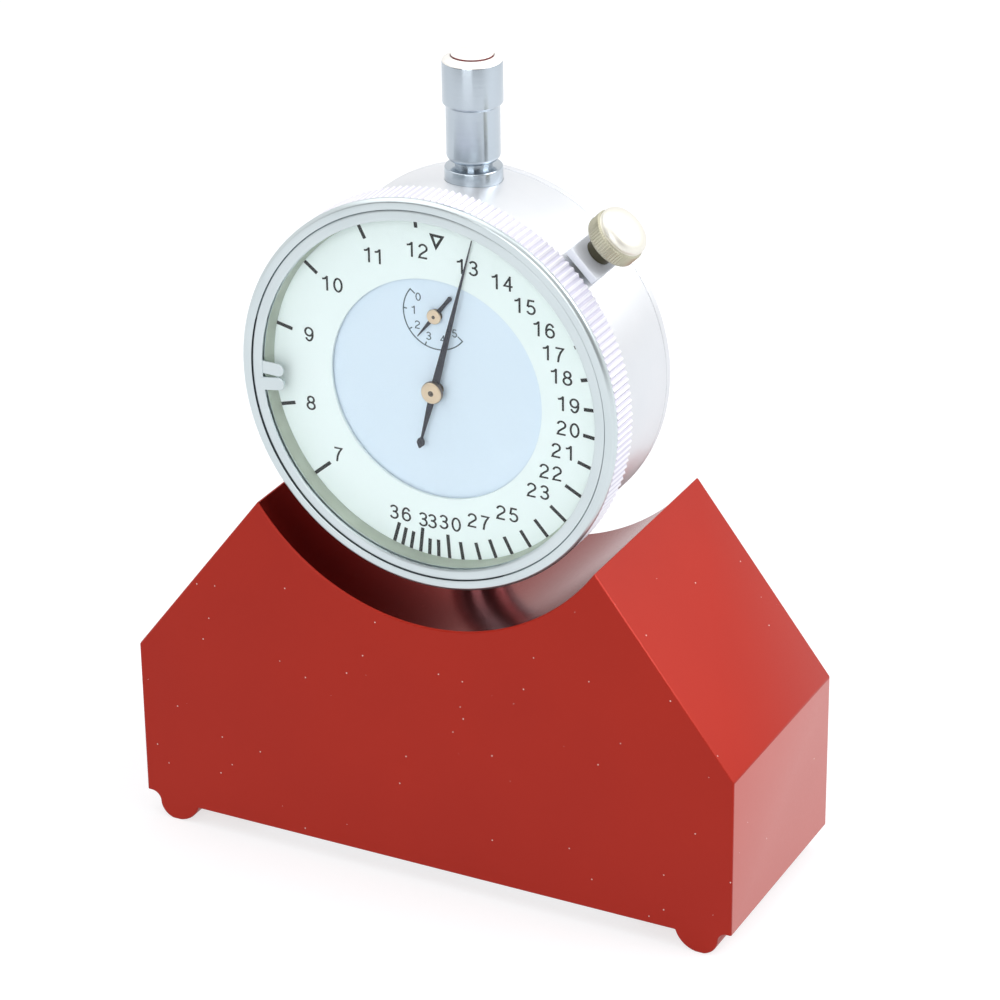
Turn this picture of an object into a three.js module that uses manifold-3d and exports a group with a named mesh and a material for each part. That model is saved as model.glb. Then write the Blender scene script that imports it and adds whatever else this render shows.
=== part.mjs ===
// Screen tension meter: a saddle block on two foot ribs carries a dial indicator, whose spindle
// rests on a sprung measuring bar. Millimetres, +Z up, the dial faces -Y. The origin is the middle
// of the measuring bar's land, in the plane that the feet stand on.

import * as THREE from 'three';
import { mergeVertices } from 'three/addons/utils/BufferGeometryUtils.js';
import Module from 'manifold-3d';

const wasm = await Module();
wasm.setup();

// Smoothness: sides of a full circle, largest pieces first
const fineSides = 48;
const midSides = 24;
const smallSides = 16;
const tinySides = 12;
const arcSteps = 6;
const saddleSteps = 40;

// Clearances
const overrun = 1; // how far a cut passes the face that it opens
const seatFit = 0.03; // round a piece pressed or glued in its seat
const runFit = 0.08; // round a shaft or slide that moves
const faceGap = 0.05; // between two faces that are screwed together
const turnGap = 0.3; // beside a face that turns or slides past

// Travel of the measuring bar from where it is level with the feet
const travelUp = 0.5;
const travelDown = 2.5;

// Block
const blockLength = 95.5;
const blockDepth = 34.5;
const undersideHeight = 2.8;
const endWallLift = 1.15; // the end walls stop this much above the underside
const shoulderHeight = 28.65;
const peakHeight = 56.15;
const peakSpacing = 53;
const saddleRadius = 32;

// Foot ribs under the block's ends
const footLand = 1.2;
const footInnerRadius = 4;
const footOuterRadius = 2.7;
const footFillet = 1.5;
const footToe = 0.65; // flat left between the fillet and the end wall

// Pocket under the block and the plate that closes it
const coverLength = 62;
const coverMargin = 3.25; // from the block's front and back faces to the cover
const coverThickness = 2.4;
const pocketLength = 46;
const pocketRim = 2; // ledge between pocket and cover edge, front and back
const pocketRoofGap = 0.6; // above the carrier at the top of its travel
const bottomScrewInset = 4.2;
const bottomScrewLength = 8;
const bottomScrewRadius = 1.5;
const bottomHeadRadius = 2.8;
const bottomHeadDepth = 1.5;
const screwRim = 0.25; // straight rim of a countersunk head
const slotWidth = 0.6;
const slotDepth = 0.6;

// Measuring bar: a blade with a half-round edge under a carrier flange
const barWidth = 6;
const barEndGap = 1; // between the bar's ends and the pocket's walls
const barLand = 1.2;
const carrierLength = 39;
const carrierThickness = 3;
const bladeClearance = 0.35;
const anvilRadius = 3;
const anvilHeight = 1.5;
const anvilShankRadius = 1.5;
const anvilShankLength = 2;
const pinRadius = 2;
const pinSpacing = 28;
const pinLength = 19;
const pinBoreSpare = 1.5;
const barSpringRadius = 3.3;
const barSpringWire = 0.45;
const barSpringTurns = 5;
const springSteps = 8;
const springSides = 5;
const springWellRadius = 4.4;
const springWellDepth = 9;

// Indicator housing, measured from the middle of the dial
const gaugeHeight = 76.65;
const caseRadius = 27.1;
const caseWall = 2.2;
const caseBack = 4.9;
const caseShoulder = -9.4;
const spigotStep = 0.7; // the bezel's bearing is this much smaller than the case
const spigotFront = -11.55;
const ledgeWidth = 2.4;
const ledgeFront = -2.5;
const ledgeBack = -1;
const flatDepth = 0.6; // how deep the flats for stem and top bush cut into the case
const backCoverThickness = 1.6;
const backCoverChamfer = 0.5;
const backLugRadius = 2;
const backLugInset = 2.3; // from the case's inner wall to the middle of a lug
const backScrewRadius = 0.8;
const backScrewLength = 5;
const backHeadRadius = 1.6;
const backHeadDepth = 0.8;

// Stem, bushes and cap on the spindle's axis
const stemRadius = 4;
const stemBore = 2.7;
const stemBottom = 27;
const stemInside = 2.3; // how far the stem passes the case's inner wall
const stemSeatGap = 0.3;
const stemCollarRadius = 4.8;
const stemCollarHeight = 1.5;
const bushLength = 6;
const spindleRadius = 2;
const boreBelowStem = 3.6;
const setScrewRadius = 2.5;
const setScrewLength = 8;
const setScrewHeight = 34;
const setScrewSocket = 1.25;
const setScrewSocketDepth = 2.5;
const topBushRadius = 3;
const topFlangeRadius = 4.05;
const topFlangeHeight = 2.35;
const topNeckRadius = 2.6;
const topNeckHeight = 4.2;
const capGap = 0.95; // neck left showing between flange and cap
const capRadius = 3.75;
const capHeadRadius = 4.2;
const capLength = 15.2;
const capHeadHeight = 6.9;
const capStep = 0.4;
const capTopRadius = 3;
const capTopBevel = 0.9;
const capFootRadius = 3.3;
const capFootBevel = 0.6;
const capBore = 2.3;
const capRoof = 2.2;
const capDiscThickness = 0.5;

// Spindle
const contactLength = 6;
const contactBallRadius = 1.2;
const contactWaist = 1.6;
const contactScrewRadius = 1.1;
const contactScrewLength = 3;
const spindleTop = 35.4; // above the middle of the dial
const guidePinRadius = 0.75;
const guidePinHeight = 6;
const guidePinReach = 7;
const guideBlockNear = 4.6;
const guideBlockWidth = 4;
const guideBlockDepth = 4.4;
const guideBlockLow = -1.5;
const guideBlockHigh = 11;
const guideSlotDepth = 3;
const returnSpringRadius = 0.75;
const returnSpringWire = 0.2;
const returnSpringPlace = 3.35;
const returnSpringTurns = 10;
const returnSpringSteps = 6;
const returnSpringSides = 4;
const anchorRadius = 0.6;
const anchorHeight = -17;
const anchorLength = 3.4;

// Gear train: rack pitch, tooth counts and tooth form
const rackPitch = 0.625;
const rackPinionTeeth = 16;
const wheelTeeth = 100;
const centrePinionTeeth = 10;
const addendum = 0.16;
const dedendum = 0.22;
const wheelRootDepth = 0.4;
const rackBelow = 6;
const rackAbove = 7;
const toothShare = 0.42; // of the pitch, at the root of a pinion's tooth
const tipShare = 0.22;
const rackTipShare = 0.23;
const rackRootShare = 0.62;
const rackArborOffset = 3;
const arborRadius = 0.9;
const thinArborRadius = 0.45;
const pivotRadius = 0.35;
const pivotReach = 0.6;
const wheelBack = -5.6;
const wheelThickness = 0.6;
const wheelHoleRadius = 2.5;
const wheelHoleCircle = 5.5;
const wheelHoles = 4;
const wheelCollarRadius = 1.7;
const wheelCollarLength = 0.8;
const rackPinionHalf = 1.5;
const centrePinionBack = -5.2;
const centrePinionLength = 1.4;

// Plates of the movement
const frontPlateBack = -9.8;
const frontPlateRadius = 22;
const plateThickness = 0.8;
const plateNotchDepth = 4;
const plateNotchHalf = 4.9;
const pillarRadius = 1.8;
const pillarSpigot = 1;
const pillarCircle = 19.5;
const pillarAnglesDeg = [0, 150, 210];
const plateScrewRadius = 0.5;
const plateScrewHead = 1;
const plateScrewHeadHeight = 0.7;
const plateScrewLength = 1.9;
const plateScrewAnglesDeg = [60, 180, 300];
const bridgePostRadius = 1.3;
const bridgePostOffset = 8.5;
const bridgePostSpread = 4;
const bridgeFront = 2.6;
const bridgeThickness = 0.9;
const bridgeMargin = 1.9;
const bridgeScrewRadius = 0.6;
const bridgeScrewHead = 1.2;
const bridgeScrewHeadHeight = 0.7;
const bridgeScrewLength = 2.6;

// Dials, pointers and hairspring
const innerDialRadius = 18;
const innerDialFront = -11.6;
const dialThickness = 0.5;
const dialFootRadius = 0.7;
const dialFootPlace = 12;
const dialFootDrop = -6;
const outerDialHole = 16.35;
const outerDialFront = -12.4;
const pointerHole = 0.9;
const pointerLength = 24.2;
const pointerTail = 9.4;
const pointerThickness = 0.2;
const pointerBack = -12.75;
const pointerRootHalf = 0.6;
const pointerTipHalf = 0.12;
const pointerWaistHalf = 0.28;
const pointerTailHalf = 0.62;
const pointerTailPlace = 7.6;
const pointerAngleDeg = 75;
const hubRadius = 1.6;
const hubFront = -13.75;
const hubSleeve = 0.85;
const hubSleeveLength = 0.9;
const counterPointerLength = 4.4;
const counterPointerTail = 4.1;
const counterPointerBack = -12.05;
const counterPointerThickness = 0.15;
const counterPointerHalf = 0.42;
const counterPointerTipHalf = 0.08;
const counterPointerAngleDeg = 231.5;
const counterHubRadius = 1.07;
const counterHubFront = -12.53;
const counterHubSleeve = 0.7;
const counterHubSleeveLength = 0.3;
const hairspringTurns = 3;
const hairspringSteps = 14;
const hairspringInner = 1.3;
const hairspringOuter = 5.8;
const hairspringWidth = 0.14;
const hairspringHeight = 0.5;
const hairspringBack = -8;
const studRadius = 0.5;

// Bezel with crystal and snap ring. Its radii step inwards from the tips of the flutes.
const bezelOverhang = 1.9; // flute tips beyond the case
const ridgeCount = 180;
const ridgeDepth = 0.3;
const bezelStep = 0.4; // plain rim below the flute tips
const bezelFront = -15.8;
const bezelBack = -9.7;
const bezelLipWidth = 1.2;
const bezelEdge = 0.4;
const bandFront = -15.1;
const bandBack = -9.95;
const bandDepth = 0.6;
const crystalPlay = 0.1;
const crystalSeatWidth = 1.5;
const wallLean = 0.4; // the wall between crystal and dial leans in by this much
const crystalBack = -14.7;
const crystalThickness = 0.5;
const grooveDepth = 0.35;
const grooveWidth = 0.42;
const snapRingPlay = 0.15;
const snapRingThickness = 0.35;
const snapRingGapHalf = 0.2;
const earLength = 3.3;
const earWidth = 2.2;
const snapRingAngleDeg = 183;

// Lock screw and clamp, out along a radius of the case
const lockAngleDeg = 45;
const lockPlace = -5; // along the gauge's axis
const clampWidth = 5.6;
const clampFront = -9.35;
const clampBack = -2.1;
const clampFootLength = 1.5;
const clampFlatDepth = 0.2; // cut into the case under the clamp
const clampHeight = 3.2; // from that flat to the clamp's top
const clampThickness = 1.3;
const lockShankRadius = 1.2;
const lockShankReach = 0.7; // past the case's inner wall
const lockNeckRadius = 1.9;
const lockNeckHeight = 1.55;
const lockKnobRadius = 4;
const lockConeHeight = 0.9;
const lockBandHeight = 2.4;
const lockGroove = 0.35;
const lockDomeHeight = 1.85;
const knobRidges = 36;
const knobRidgeDepth = 0.25;

// Places worked out from the sizes above
const degree = Math.PI / 180;
const coverWidth = blockDepth - 2 * coverMargin;
const pocketWidth = coverWidth - 2 * pocketRim;
const barLength = pocketWidth - 2 * barEndGap;
const coverTop = undersideHeight + coverThickness;
const carrierBottom = coverTop + turnGap + travelDown;
const carrierTop = carrierBottom + carrierThickness;
const pocketRoof = carrierTop + travelUp + pocketRoofGap;
const anvilTop = carrierTop + anvilHeight;
const springCeiling = pocketRoof + springWellDepth;
const pinTop = carrierBottom + pinLength;
const spindleBottom = anvilTop + contactLength;
const caseInnerRadius = caseRadius - caseWall;
const ledgeRadius = caseInnerRadius - ledgeWidth;
const spigotRadius = caseRadius - spigotStep;
const backLugCircle = caseInnerRadius - backLugInset;
const plateScrewCircle = (caseInnerRadius + ledgeRadius) / 2;
const middlePlateRadius = caseInnerRadius - turnGap;
const plateNotchLevel = middlePlateRadius - plateNotchDepth;
const stemTop = gaugeHeight - caseInnerRadius + stemInside;
const caseFlat = caseRadius - flatDepth;
const capBottom = caseFlat + topFlangeHeight + capGap;
const capTop = capBottom + capLength;
const middlePlateFront = ledgeFront - plateThickness - faceGap;
const rackPitchRadius = rackPinionTeeth * rackPitch / (2 * Math.PI);
const wheelPitchRadius = wheelTeeth * rackPitch / (2 * Math.PI);
const centrePitchRadius = centrePinionTeeth * rackPitch / (2 * Math.PI);
const arborDistance = wheelPitchRadius + centrePitchRadius;
const rackArbor = [-rackArborOffset, -Math.sqrt(arborDistance ** 2 - rackArborOffset ** 2)];
const counterArbor = [0, arborDistance];
const rackLine = rackArborOffset - rackPitchRadius;
const bezelRadius = caseRadius + bezelOverhang;
const bezelBody = bezelRadius - bezelStep;
const bezelBore = spigotRadius + turnGap;
const bezelLip = bezelBody - bezelLipWidth;
const grooveRadius = bezelLip + grooveDepth;
const snapRingOuter = grooveRadius - snapRingPlay;
const crystalRadius = bezelLip - crystalPlay;
const crystalSeatRadius = crystalRadius - crystalSeatWidth;
const dialSeatRadius = crystalSeatRadius - wallLean;
const outerDialRadius = bezelBore - 2 * runFit;
const clampFlat = caseRadius - clampFlatDepth;
const clampTop = clampFlat + clampHeight;
const lockShankEnd = caseInnerRadius - lockShankReach;
const lockNeckTop = clampTop + lockNeckHeight;
const lockKnobBottom = lockNeckTop + lockConeHeight;
const lockKnobTop = lockKnobBottom + lockBandHeight;
const lockDomeTop = lockKnobTop + lockGroove + lockDomeHeight;

// Finishes
function finish(colour, roughness, metalness, opacity = 1) {
  return new THREE.MeshStandardMaterial({
    color: colour, roughness, metalness, opacity, transparent: opacity < 1,
  });
}
const redAnodised = finish('#a32a20', 0.35, 0.3);
const satinSteel = finish('#dfe2e6', 0.3, 0.8);
const brightSteel = finish('#c9ced4', 0.2, 0.9);
const brass = finish('#c8a878', 0.3, 0.9);
const paleBrass = finish('#d9d4b4', 0.35, 0.8);
const springSteel = finish('#8c9096', 0.35, 0.9);
const blueSteel = finish('#23242e', 0.4, 0.6);
const dialWhite = finish('#e4f2f0', 0.5, 0);
const dialBlue = finish('#cfe4f4', 0.5, 0);
const clearGlass = finish('#f4fbfb', 0.05, 0, 0.25);

// Solids

function toSolid(geometry) {
  const bare = new THREE.BufferGeometry();
  bare.setAttribute('position', geometry.getAttribute('position').clone());
  if (geometry.index) bare.setIndex(geometry.index.clone());
  const merged = mergeVertices(bare);
  const corners = merged.getAttribute('position').array;
  const faces = [];
  const index = merged.index.array;
  for (let i = 0; i < index.length; i += 3) {
    const [a, b, c] = [index[i], index[i + 1], index[i + 2]];
    if (a !== b && b !== c && c !== a) faces.push(a, b, c);
  }
  if (enclosedVolume(corners, faces) < 0) faces.reverse();
  return new wasm.Manifold(new wasm.Mesh({
    numProp: 3,
    vertProperties: Float32Array.from(corners),
    triVerts: Uint32Array.from(faces),
  }));
}

function enclosedVolume(corners, faces) {
  const corner = (i) => new THREE.Vector3().fromArray(corners, 3 * i);
  let sum = 0;
  for (let i = 0; i < faces.length; i += 3) {
    sum += corner(faces[i]).dot(corner(faces[i + 1]).cross(corner(faces[i + 2])));
  }
  return sum;
}

// A part turned on a lathe: its profile is a list of [radius, height], about the Y axis.
function turned(profile, sides) {
  return toSolid(new THREE.LatheGeometry(profile.map(([r, h]) => new THREE.Vector2(r, h)), sides));
}

// The same about the Z axis.
function turnedUp(profile, sides) {
  const lathe = new THREE.LatheGeometry(profile.map(([r, h]) => new THREE.Vector2(r, h)), sides);
  return toSolid(lathe.rotateX(Math.PI / 2));
}

function rodY(radius, from, to, sides, x = 0, z = 0) {
  const rod = new THREE.CylinderGeometry(radius, radius, to - from, sides);
  return toSolid(rod.translate(x, (from + to) / 2, z));
}

function rodZ(radius, from, to, sides, x = 0, y = 0) {
  const rod = new THREE.CylinderGeometry(radius, radius, to - from, sides);
  return toSolid(rod.rotateX(Math.PI / 2).translate(x, y, (from + to) / 2));
}

function rodX(radius, from, to, sides, y = 0, z = 0) {
  const rod = new THREE.CylinderGeometry(radius, radius, to - from, sides);
  return toSolid(rod.rotateZ(Math.PI / 2).translate((from + to) / 2, y, z));
}

function box([x0, y0, z0], [x1, y1, z1]) {
  const geometry = new THREE.BoxGeometry(x1 - x0, y1 - y0, z1 - z0);
  return toSolid(geometry.translate((x0 + x1) / 2, (y0 + y1) / 2, (z0 + z1) / 2));
}

// An outline in the X-Z plane, as a plate whose back lies at the given y.
function panel(outline, back, thickness, holes = []) {
  const shape = new THREE.Shape(outline.map(([x, z]) => new THREE.Vector2(x, z)));
  for (const hole of holes) {
    shape.holes.push(new THREE.Path(hole.map(([x, z]) => new THREE.Vector2(x, z))));
  }
  const geometry = new THREE.ExtrudeGeometry(shape, { depth: thickness, bevelEnabled: false });
  return toSolid(geometry.rotateX(Math.PI / 2).translate(0, back, 0));
}

function arc(cx, cz, radius, from, to, steps) {
  return Array.from({ length: steps + 1 }, (_, i) => {
    const angle = from + (to - from) * i / steps;
    return [cx + radius * Math.cos(angle), cz + radius * Math.sin(angle)];
  });
}

function circle(radius, sides, cx = 0, cz = 0) {
  return arc(cx, cz, radius, 0, 2 * Math.PI, sides).slice(0, sides);
}

function around(radius, angle) {
  return [radius * Math.cos(angle), radius * Math.sin(angle)];
}

function cut(solid, ...tools) {
  return tools.reduce((rest, tool) => rest.subtract(tool), solid);
}

function join(solid, ...others) {
  return others.reduce((sum, other) => sum.add(other), solid);
}

function mirrored(points) {
  return points.map(([x, z]) => [-x, z]).reverse();
}

function piece(name, solid, material) {
  const { vertProperties, triVerts } = solid.getMesh();
  const geometry = new THREE.BufferGeometry();
  geometry.setAttribute('position', new THREE.BufferAttribute(Float32Array.from(vertProperties), 3));
  geometry.setIndex(new THREE.BufferAttribute(Uint32Array.from(triVerts), 1));
  geometry.computeVertexNormals();
  const mesh = new THREE.Mesh(geometry, material);
  mesh.name = name;
  return mesh;
}

// A round wire along a path: rings of corners joined by quads, and a fan at each end.
function wire(path, radius, sides) {
  const corners = [];
  path.forEach(({ point, out, up }) => {
    for (let k = 0; k < sides; k += 1) {
      const angle = 2 * Math.PI * k / sides;
      corners.push(point.clone()
        .addScaledVector(out, radius * Math.cos(angle))
        .addScaledVector(up, radius * Math.sin(angle)));
    }
  });
  const faces = [];
  for (let i = 0; i + 1 < path.length; i += 1) {
    for (let k = 0; k < sides; k += 1) {
      const a = i * sides + k;
      const b = i * sides + (k + 1) % sides;
      faces.push(a, b, b + sides, a, b + sides, a + sides);
    }
  }
  const last = (path.length - 1) * sides;
  for (let k = 1; k + 1 < sides; k += 1) {
    faces.push(0, k + 1, k, last, last + k, last + k + 1);
  }
  const geometry = new THREE.BufferGeometry().setFromPoints(corners);
  geometry.setIndex(faces);
  return toSolid(geometry);
}

// A coil spring about a vertical axis, between two heights.
function coil(radius, wireRadius, turns, steps, sides, low, high, x, y) {
  const first = low + wireRadius;
  const rise = high - low - 2 * wireRadius;
  const path = Array.from({ length: turns * steps + 1 }, (_, i) => {
    const share = i / (turns * steps);
    const angle = share * turns * 2 * Math.PI;
    const out = new THREE.Vector3(Math.cos(angle), Math.sin(angle), 0);
    const up = new THREE.Vector3(0, 0, 1);
    const point = new THREE.Vector3(x, y, first + rise * share).addScaledVector(out, radius);
    return { point, out, up };
  });
  return wire(path, wireRadius, sides);
}

// A countersunk screw along +Y from the face that its head is flush with, slotted.
function countersunk(headRadius, headDepth, shankRadius, length) {
  const body = turned([
    [0, 0], [headRadius, 0], [headRadius, screwRim],
    [shankRadius, headDepth], [shankRadius, length], [0, length],
  ], smallSides);
  const reach = headRadius + overrun;
  return cut(body, box([-reach, -overrun, -slotWidth / 2], [reach, slotDepth, slotWidth / 2]));
}

// A cheese-head screw along +Y, its head on the near side of the zero plane.
function cheeseHead(headRadius, headHeight, shankRadius, length) {
  const body = turned([
    [0, -headHeight], [headRadius, -headHeight], [headRadius, 0],
    [shankRadius, 0], [shankRadius, length], [0, length],
  ], tinySides);
  const reach = headRadius + overrun;
  const slotHalf = slotWidth / 4;
  const slot = box([-reach, -headHeight - overrun, -slotHalf], [reach, slotDepth / 2 - headHeight, slotHalf]);
  return cut(body, slot);
}

// The hollow that a countersunk screw sits in.
function countersink(headRadius, headDepth, shankRadius, length, x, z) {
  const wide = headRadius + seatFit;
  const narrow = shankRadius + seatFit;
  const tool = turned([
    [0, -overrun], [wide, -overrun], [wide, screwRim], [narrow, headDepth + seatFit],
    [narrow, length + seatFit], [0, length + seatFit],
  ], smallSides);
  return tool.translate([x, 0, z]);
}

// Block

function footOutline() {
  const land = footLand / 2;
  const innerLevel = Math.sqrt(footInnerRadius ** 2 - land ** 2);
  const outerLevel = Math.sqrt(footOuterRadius ** 2 - land ** 2);
  const wallBottom = undersideHeight + endWallLift;
  const filletLevel = wallBottom - footFillet;
  const reach = Math.sqrt((footOuterRadius + footFillet) ** 2 - (filletLevel - outerLevel) ** 2);
  const middle = blockLength / 2 - footToe - reach;
  const tangent = Math.atan2(filletLevel - outerLevel, reach);
  const rise = Math.asin((innerLevel - undersideHeight) / footInnerRadius);
  const innerEnd = 1.5 * Math.PI - Math.asin(land / footInnerRadius);
  const outerStart = Math.asin(land / footOuterRadius) - Math.PI / 2;
  return [
    ...arc(middle, innerLevel, footInnerRadius, Math.PI + rise, innerEnd, arcSteps),
    ...arc(middle, outerLevel, footOuterRadius, outerStart, tangent, arcSteps),
    ...arc(middle + reach, filletLevel, footFillet, tangent + Math.PI, Math.PI / 2, arcSteps).slice(1),
    [blockLength / 2, wallBottom],
  ];
}

function blockOutline() {
  const half = peakSpacing / 2;
  const saddleCentre = peakHeight + Math.sqrt(saddleRadius ** 2 - half ** 2);
  const start = Math.atan2(peakHeight - saddleCentre, half);
  const right = [...footOutline(), [blockLength / 2, shoulderHeight]];
  const saddle = arc(0, saddleCentre, saddleRadius, start, -Math.PI - start, saddleSteps);
  return [...right, ...saddle, ...mirrored(right)];
}

const bottomScrewPlaces = [[-1, -1], [1, -1], [1, 1], [-1, 1]].map(([sx, sy]) => [
  sx * (coverLength / 2 - bottomScrewInset), sy * (coverWidth / 2 - bottomScrewInset),
]);

function centredBox(length, width, low, high) {
  return box([-length / 2, -width / 2, low], [length / 2, width / 2, high]);
}

function baseBlock() {
  const body = panel(blockOutline(), blockDepth / 2, blockDepth);
  const recessLength = coverLength + 2 * faceGap;
  const recessWidth = coverWidth + 2 * faceGap;
  const sides = [-pinSpacing / 2, pinSpacing / 2];
  const pinBoreTop = pinTop + travelUp + pinBoreSpare;
  const screwTop = undersideHeight + bottomScrewLength + seatFit;
  return piece('base_block', cut(
    body,
    centredBox(recessLength, recessWidth, undersideHeight - overrun, coverTop + faceGap),
    centredBox(pocketLength, pocketWidth, undersideHeight, pocketRoof),
    rodZ(boreBelowStem, undersideHeight, stemBottom, midSides),
    rodZ(stemRadius + seatFit, stemBottom - stemSeatGap, peakHeight, midSides),
    ...sides.map((x) => rodZ(pinRadius + runFit, pocketRoof - overrun, pinBoreTop, smallSides, x)),
    ...sides.map((x) => rodZ(springWellRadius, pocketRoof - overrun, springCeiling, midSides, x)),
    ...bottomScrewPlaces.map(([x, y]) => rodZ(
      bottomScrewRadius + seatFit, undersideHeight, screwTop, smallSides, x, y,
    )),
    rodY(setScrewRadius + seatFit, 0, blockDepth / 2 + overrun, smallSides, 0, setScrewHeight),
  ), redAnodised);
}

// Bottom screws point up, so their lathe axis is turned from Y to Z.
function bottomPlate() {
  const plate = centredBox(coverLength, coverWidth, undersideHeight, coverTop);
  const slotLength = barLength + 2 * bladeClearance;
  const slot = centredBox(
    barWidth + 2 * bladeClearance, slotLength, undersideHeight - overrun, coverTop + overrun,
  );
  const sinks = bottomScrewPlaces.map(([x, y]) => countersink(
    bottomHeadRadius, bottomHeadDepth, bottomScrewRadius, coverThickness + overrun, 0, 0,
  ).rotate([90, 0, 0]).translate([x, y, undersideHeight]));
  return piece('bottom_plate', cut(plate, slot, ...sinks), brightSteel);
}

function bottomScrews() {
  return bottomScrewPlaces.map(([x, y], i) => {
    const screw = countersunk(bottomHeadRadius, bottomHeadDepth, bottomScrewRadius, bottomScrewLength);
    const mesh = piece(`bottom_screw_${i + 1}`, screw.rotate([90, 0, 0]), springSteel);
    mesh.position.set(x, y, undersideHeight);
    return mesh;
  });
}

function stemSetScrew() {
  const body = rodY(setScrewRadius, 0, setScrewLength, smallSides);
  const socketCorner = setScrewSocket / Math.cos(Math.PI / 6);
  const socket = rodY(socketCorner, setScrewLength - setScrewSocketDepth, setScrewLength + overrun, 6);
  const mesh = piece('stem_set_screw', cut(body, socket), springSteel);
  mesh.position.set(0, stemRadius + seatFit + faceGap, setScrewHeight);
  return mesh;
}

// Measuring bar

function measuringBar() {
  const half = barWidth / 2;
  const land = barLand / 2;
  const level = Math.sqrt(half ** 2 - land ** 2);
  const right = [
    ...arc(0, level, half, Math.asin(land / half) - Math.PI / 2, 0, arcSteps),
    [half, carrierBottom],
    [carrierLength / 2, carrierBottom],
    [carrierLength / 2, carrierTop],
  ];
  const bar = panel([...right, ...mirrored(right)], barLength / 2, barLength);
  const top = carrierTop + overrun;
  return piece('measuring_bar', cut(
    bar,
    rodZ(anvilShankRadius + seatFit, carrierTop - anvilShankLength - seatFit, top, smallSides),
    rodZ(pinRadius + seatFit, carrierBottom - overrun, top, smallSides, -pinSpacing / 2),
    rodZ(pinRadius + seatFit, carrierBottom - overrun, top, smallSides, pinSpacing / 2),
  ), brightSteel);
}

function anvilButton() {
  return piece('anvil_button', turnedUp([
    [0, carrierTop - anvilShankLength], [anvilShankRadius, carrierTop - anvilShankLength],
    [anvilShankRadius, carrierTop], [anvilRadius, carrierTop], [anvilRadius, anvilTop], [0, anvilTop],
  ], smallSides), brightSteel);
}

function barGuides() {
  return [['left', -1], ['right', 1]].flatMap(([side, sign]) => {
    const x = sign * pinSpacing / 2;
    const rod = rodZ(pinRadius, carrierBottom, pinTop, smallSides, x);
    const pin = piece(`bar_guide_pin_${side}`, rod, brightSteel);
    const spring = coil(
      barSpringRadius, barSpringWire, barSpringTurns, springSteps, springSides,
      carrierTop + faceGap, springCeiling - faceGap, x, 0,
    );
    return [pin, piece(`bar_spring_${side}`, spring, springSteel)];
  });
}

// Indicator housing

const backScrewPlaces = [45, 135, 225, 315].map((angle) => around(backLugCircle, angle * degree));
const plateScrewPlaces = plateScrewAnglesDeg.map((angle) => around(plateScrewCircle, angle * degree));

function gaugeCase() {
  const shell = turned([
    [caseRadius, caseShoulder], [caseRadius, caseBack], [caseInnerRadius, caseBack],
    [caseInnerRadius, ledgeBack], [ledgeRadius, ledgeBack], [ledgeRadius, ledgeFront],
    [caseInnerRadius, ledgeFront], [caseInnerRadius, spigotFront], [spigotRadius, spigotFront],
    [spigotRadius, caseShoulder], [caseRadius, caseShoulder],
  ], fineSides);
  const lugs = backScrewPlaces.map(([x, z]) => (
    rodY(backLugRadius, ledgeBack - seatFit, caseBack, smallSides, x, z)
  ));
  const outside = cut(
    rodY(caseRadius + overrun, ledgeFront, caseBack, fineSides),
    rodY(caseInnerRadius + seatFit, ledgeFront - overrun, caseBack + overrun, fineSides),
  );
  const body = join(shell, ...lugs.map((lug) => lug.subtract(outside)));
  const outermost = caseRadius + overrun;
  const screwLow = caseBack + faceGap + backCoverThickness - backScrewLength - seatFit;
  const tilt = [0, lockAngleDeg, 0];
  const lockHole = rodZ(lockShankRadius + runFit, ledgeRadius, outermost, midSides, 0, lockPlace);
  const lockFlat = box(
    [-clampWidth / 2 - faceGap, caseShoulder - overrun, clampFlat],
    [clampWidth / 2 + faceGap, clampBack + faceGap, outermost],
  );
  const plateHoles = plateScrewPlaces.map(([x, z]) => (
    rodY(plateScrewRadius + seatFit, ledgeFront - overrun, ledgeBack + overrun, tinySides, x, z)
  ));
  return piece('gauge_case', cut(
    body,
    rodZ(stemRadius + seatFit, -outermost, -ledgeRadius + stemInside, midSides),
    rodZ(stemCollarRadius + seatFit, -outermost, -caseFlat, midSides),
    rodZ(topBushRadius + seatFit, ledgeRadius - stemInside, outermost, midSides),
    rodZ(topFlangeRadius + seatFit, caseFlat, outermost, midSides),
    lockHole.rotate(tilt), lockFlat.rotate(tilt), ...plateHoles,
    ...backScrewPlaces.map(([x, z]) => (
      rodY(backScrewRadius + seatFit, screwLow, caseBack + overrun, smallSides, x, z)
    )),
  ), satinSteel);
}

function backCover() {
  const front = caseBack + faceGap;
  const back = front + backCoverThickness;
  const disc = turned([
    [0, front], [caseRadius, front], [caseRadius, back - backCoverChamfer],
    [caseRadius - backCoverChamfer, back], [0, back],
  ], fineSides);
  const sinks = backScrewPlaces.map(([x, z]) => countersink(
    backHeadRadius, backHeadDepth, backScrewRadius, backScrewLength, 0, 0,
  ).rotate([180, 0, 0]).translate([x, back, z]));
  const screws = backScrewPlaces.map(([x, z], i) => {
    const screw = countersunk(backHeadRadius, backHeadDepth, backScrewRadius, backScrewLength);
    const mesh = piece(`back_screw_${i + 1}`, screw.rotate([180, 0, 0]), springSteel);
    mesh.position.set(x, back, z);
    return mesh;
  });
  return [piece('gauge_back_cover', cut(disc, ...sinks), satinSteel), ...screws];
}

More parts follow.
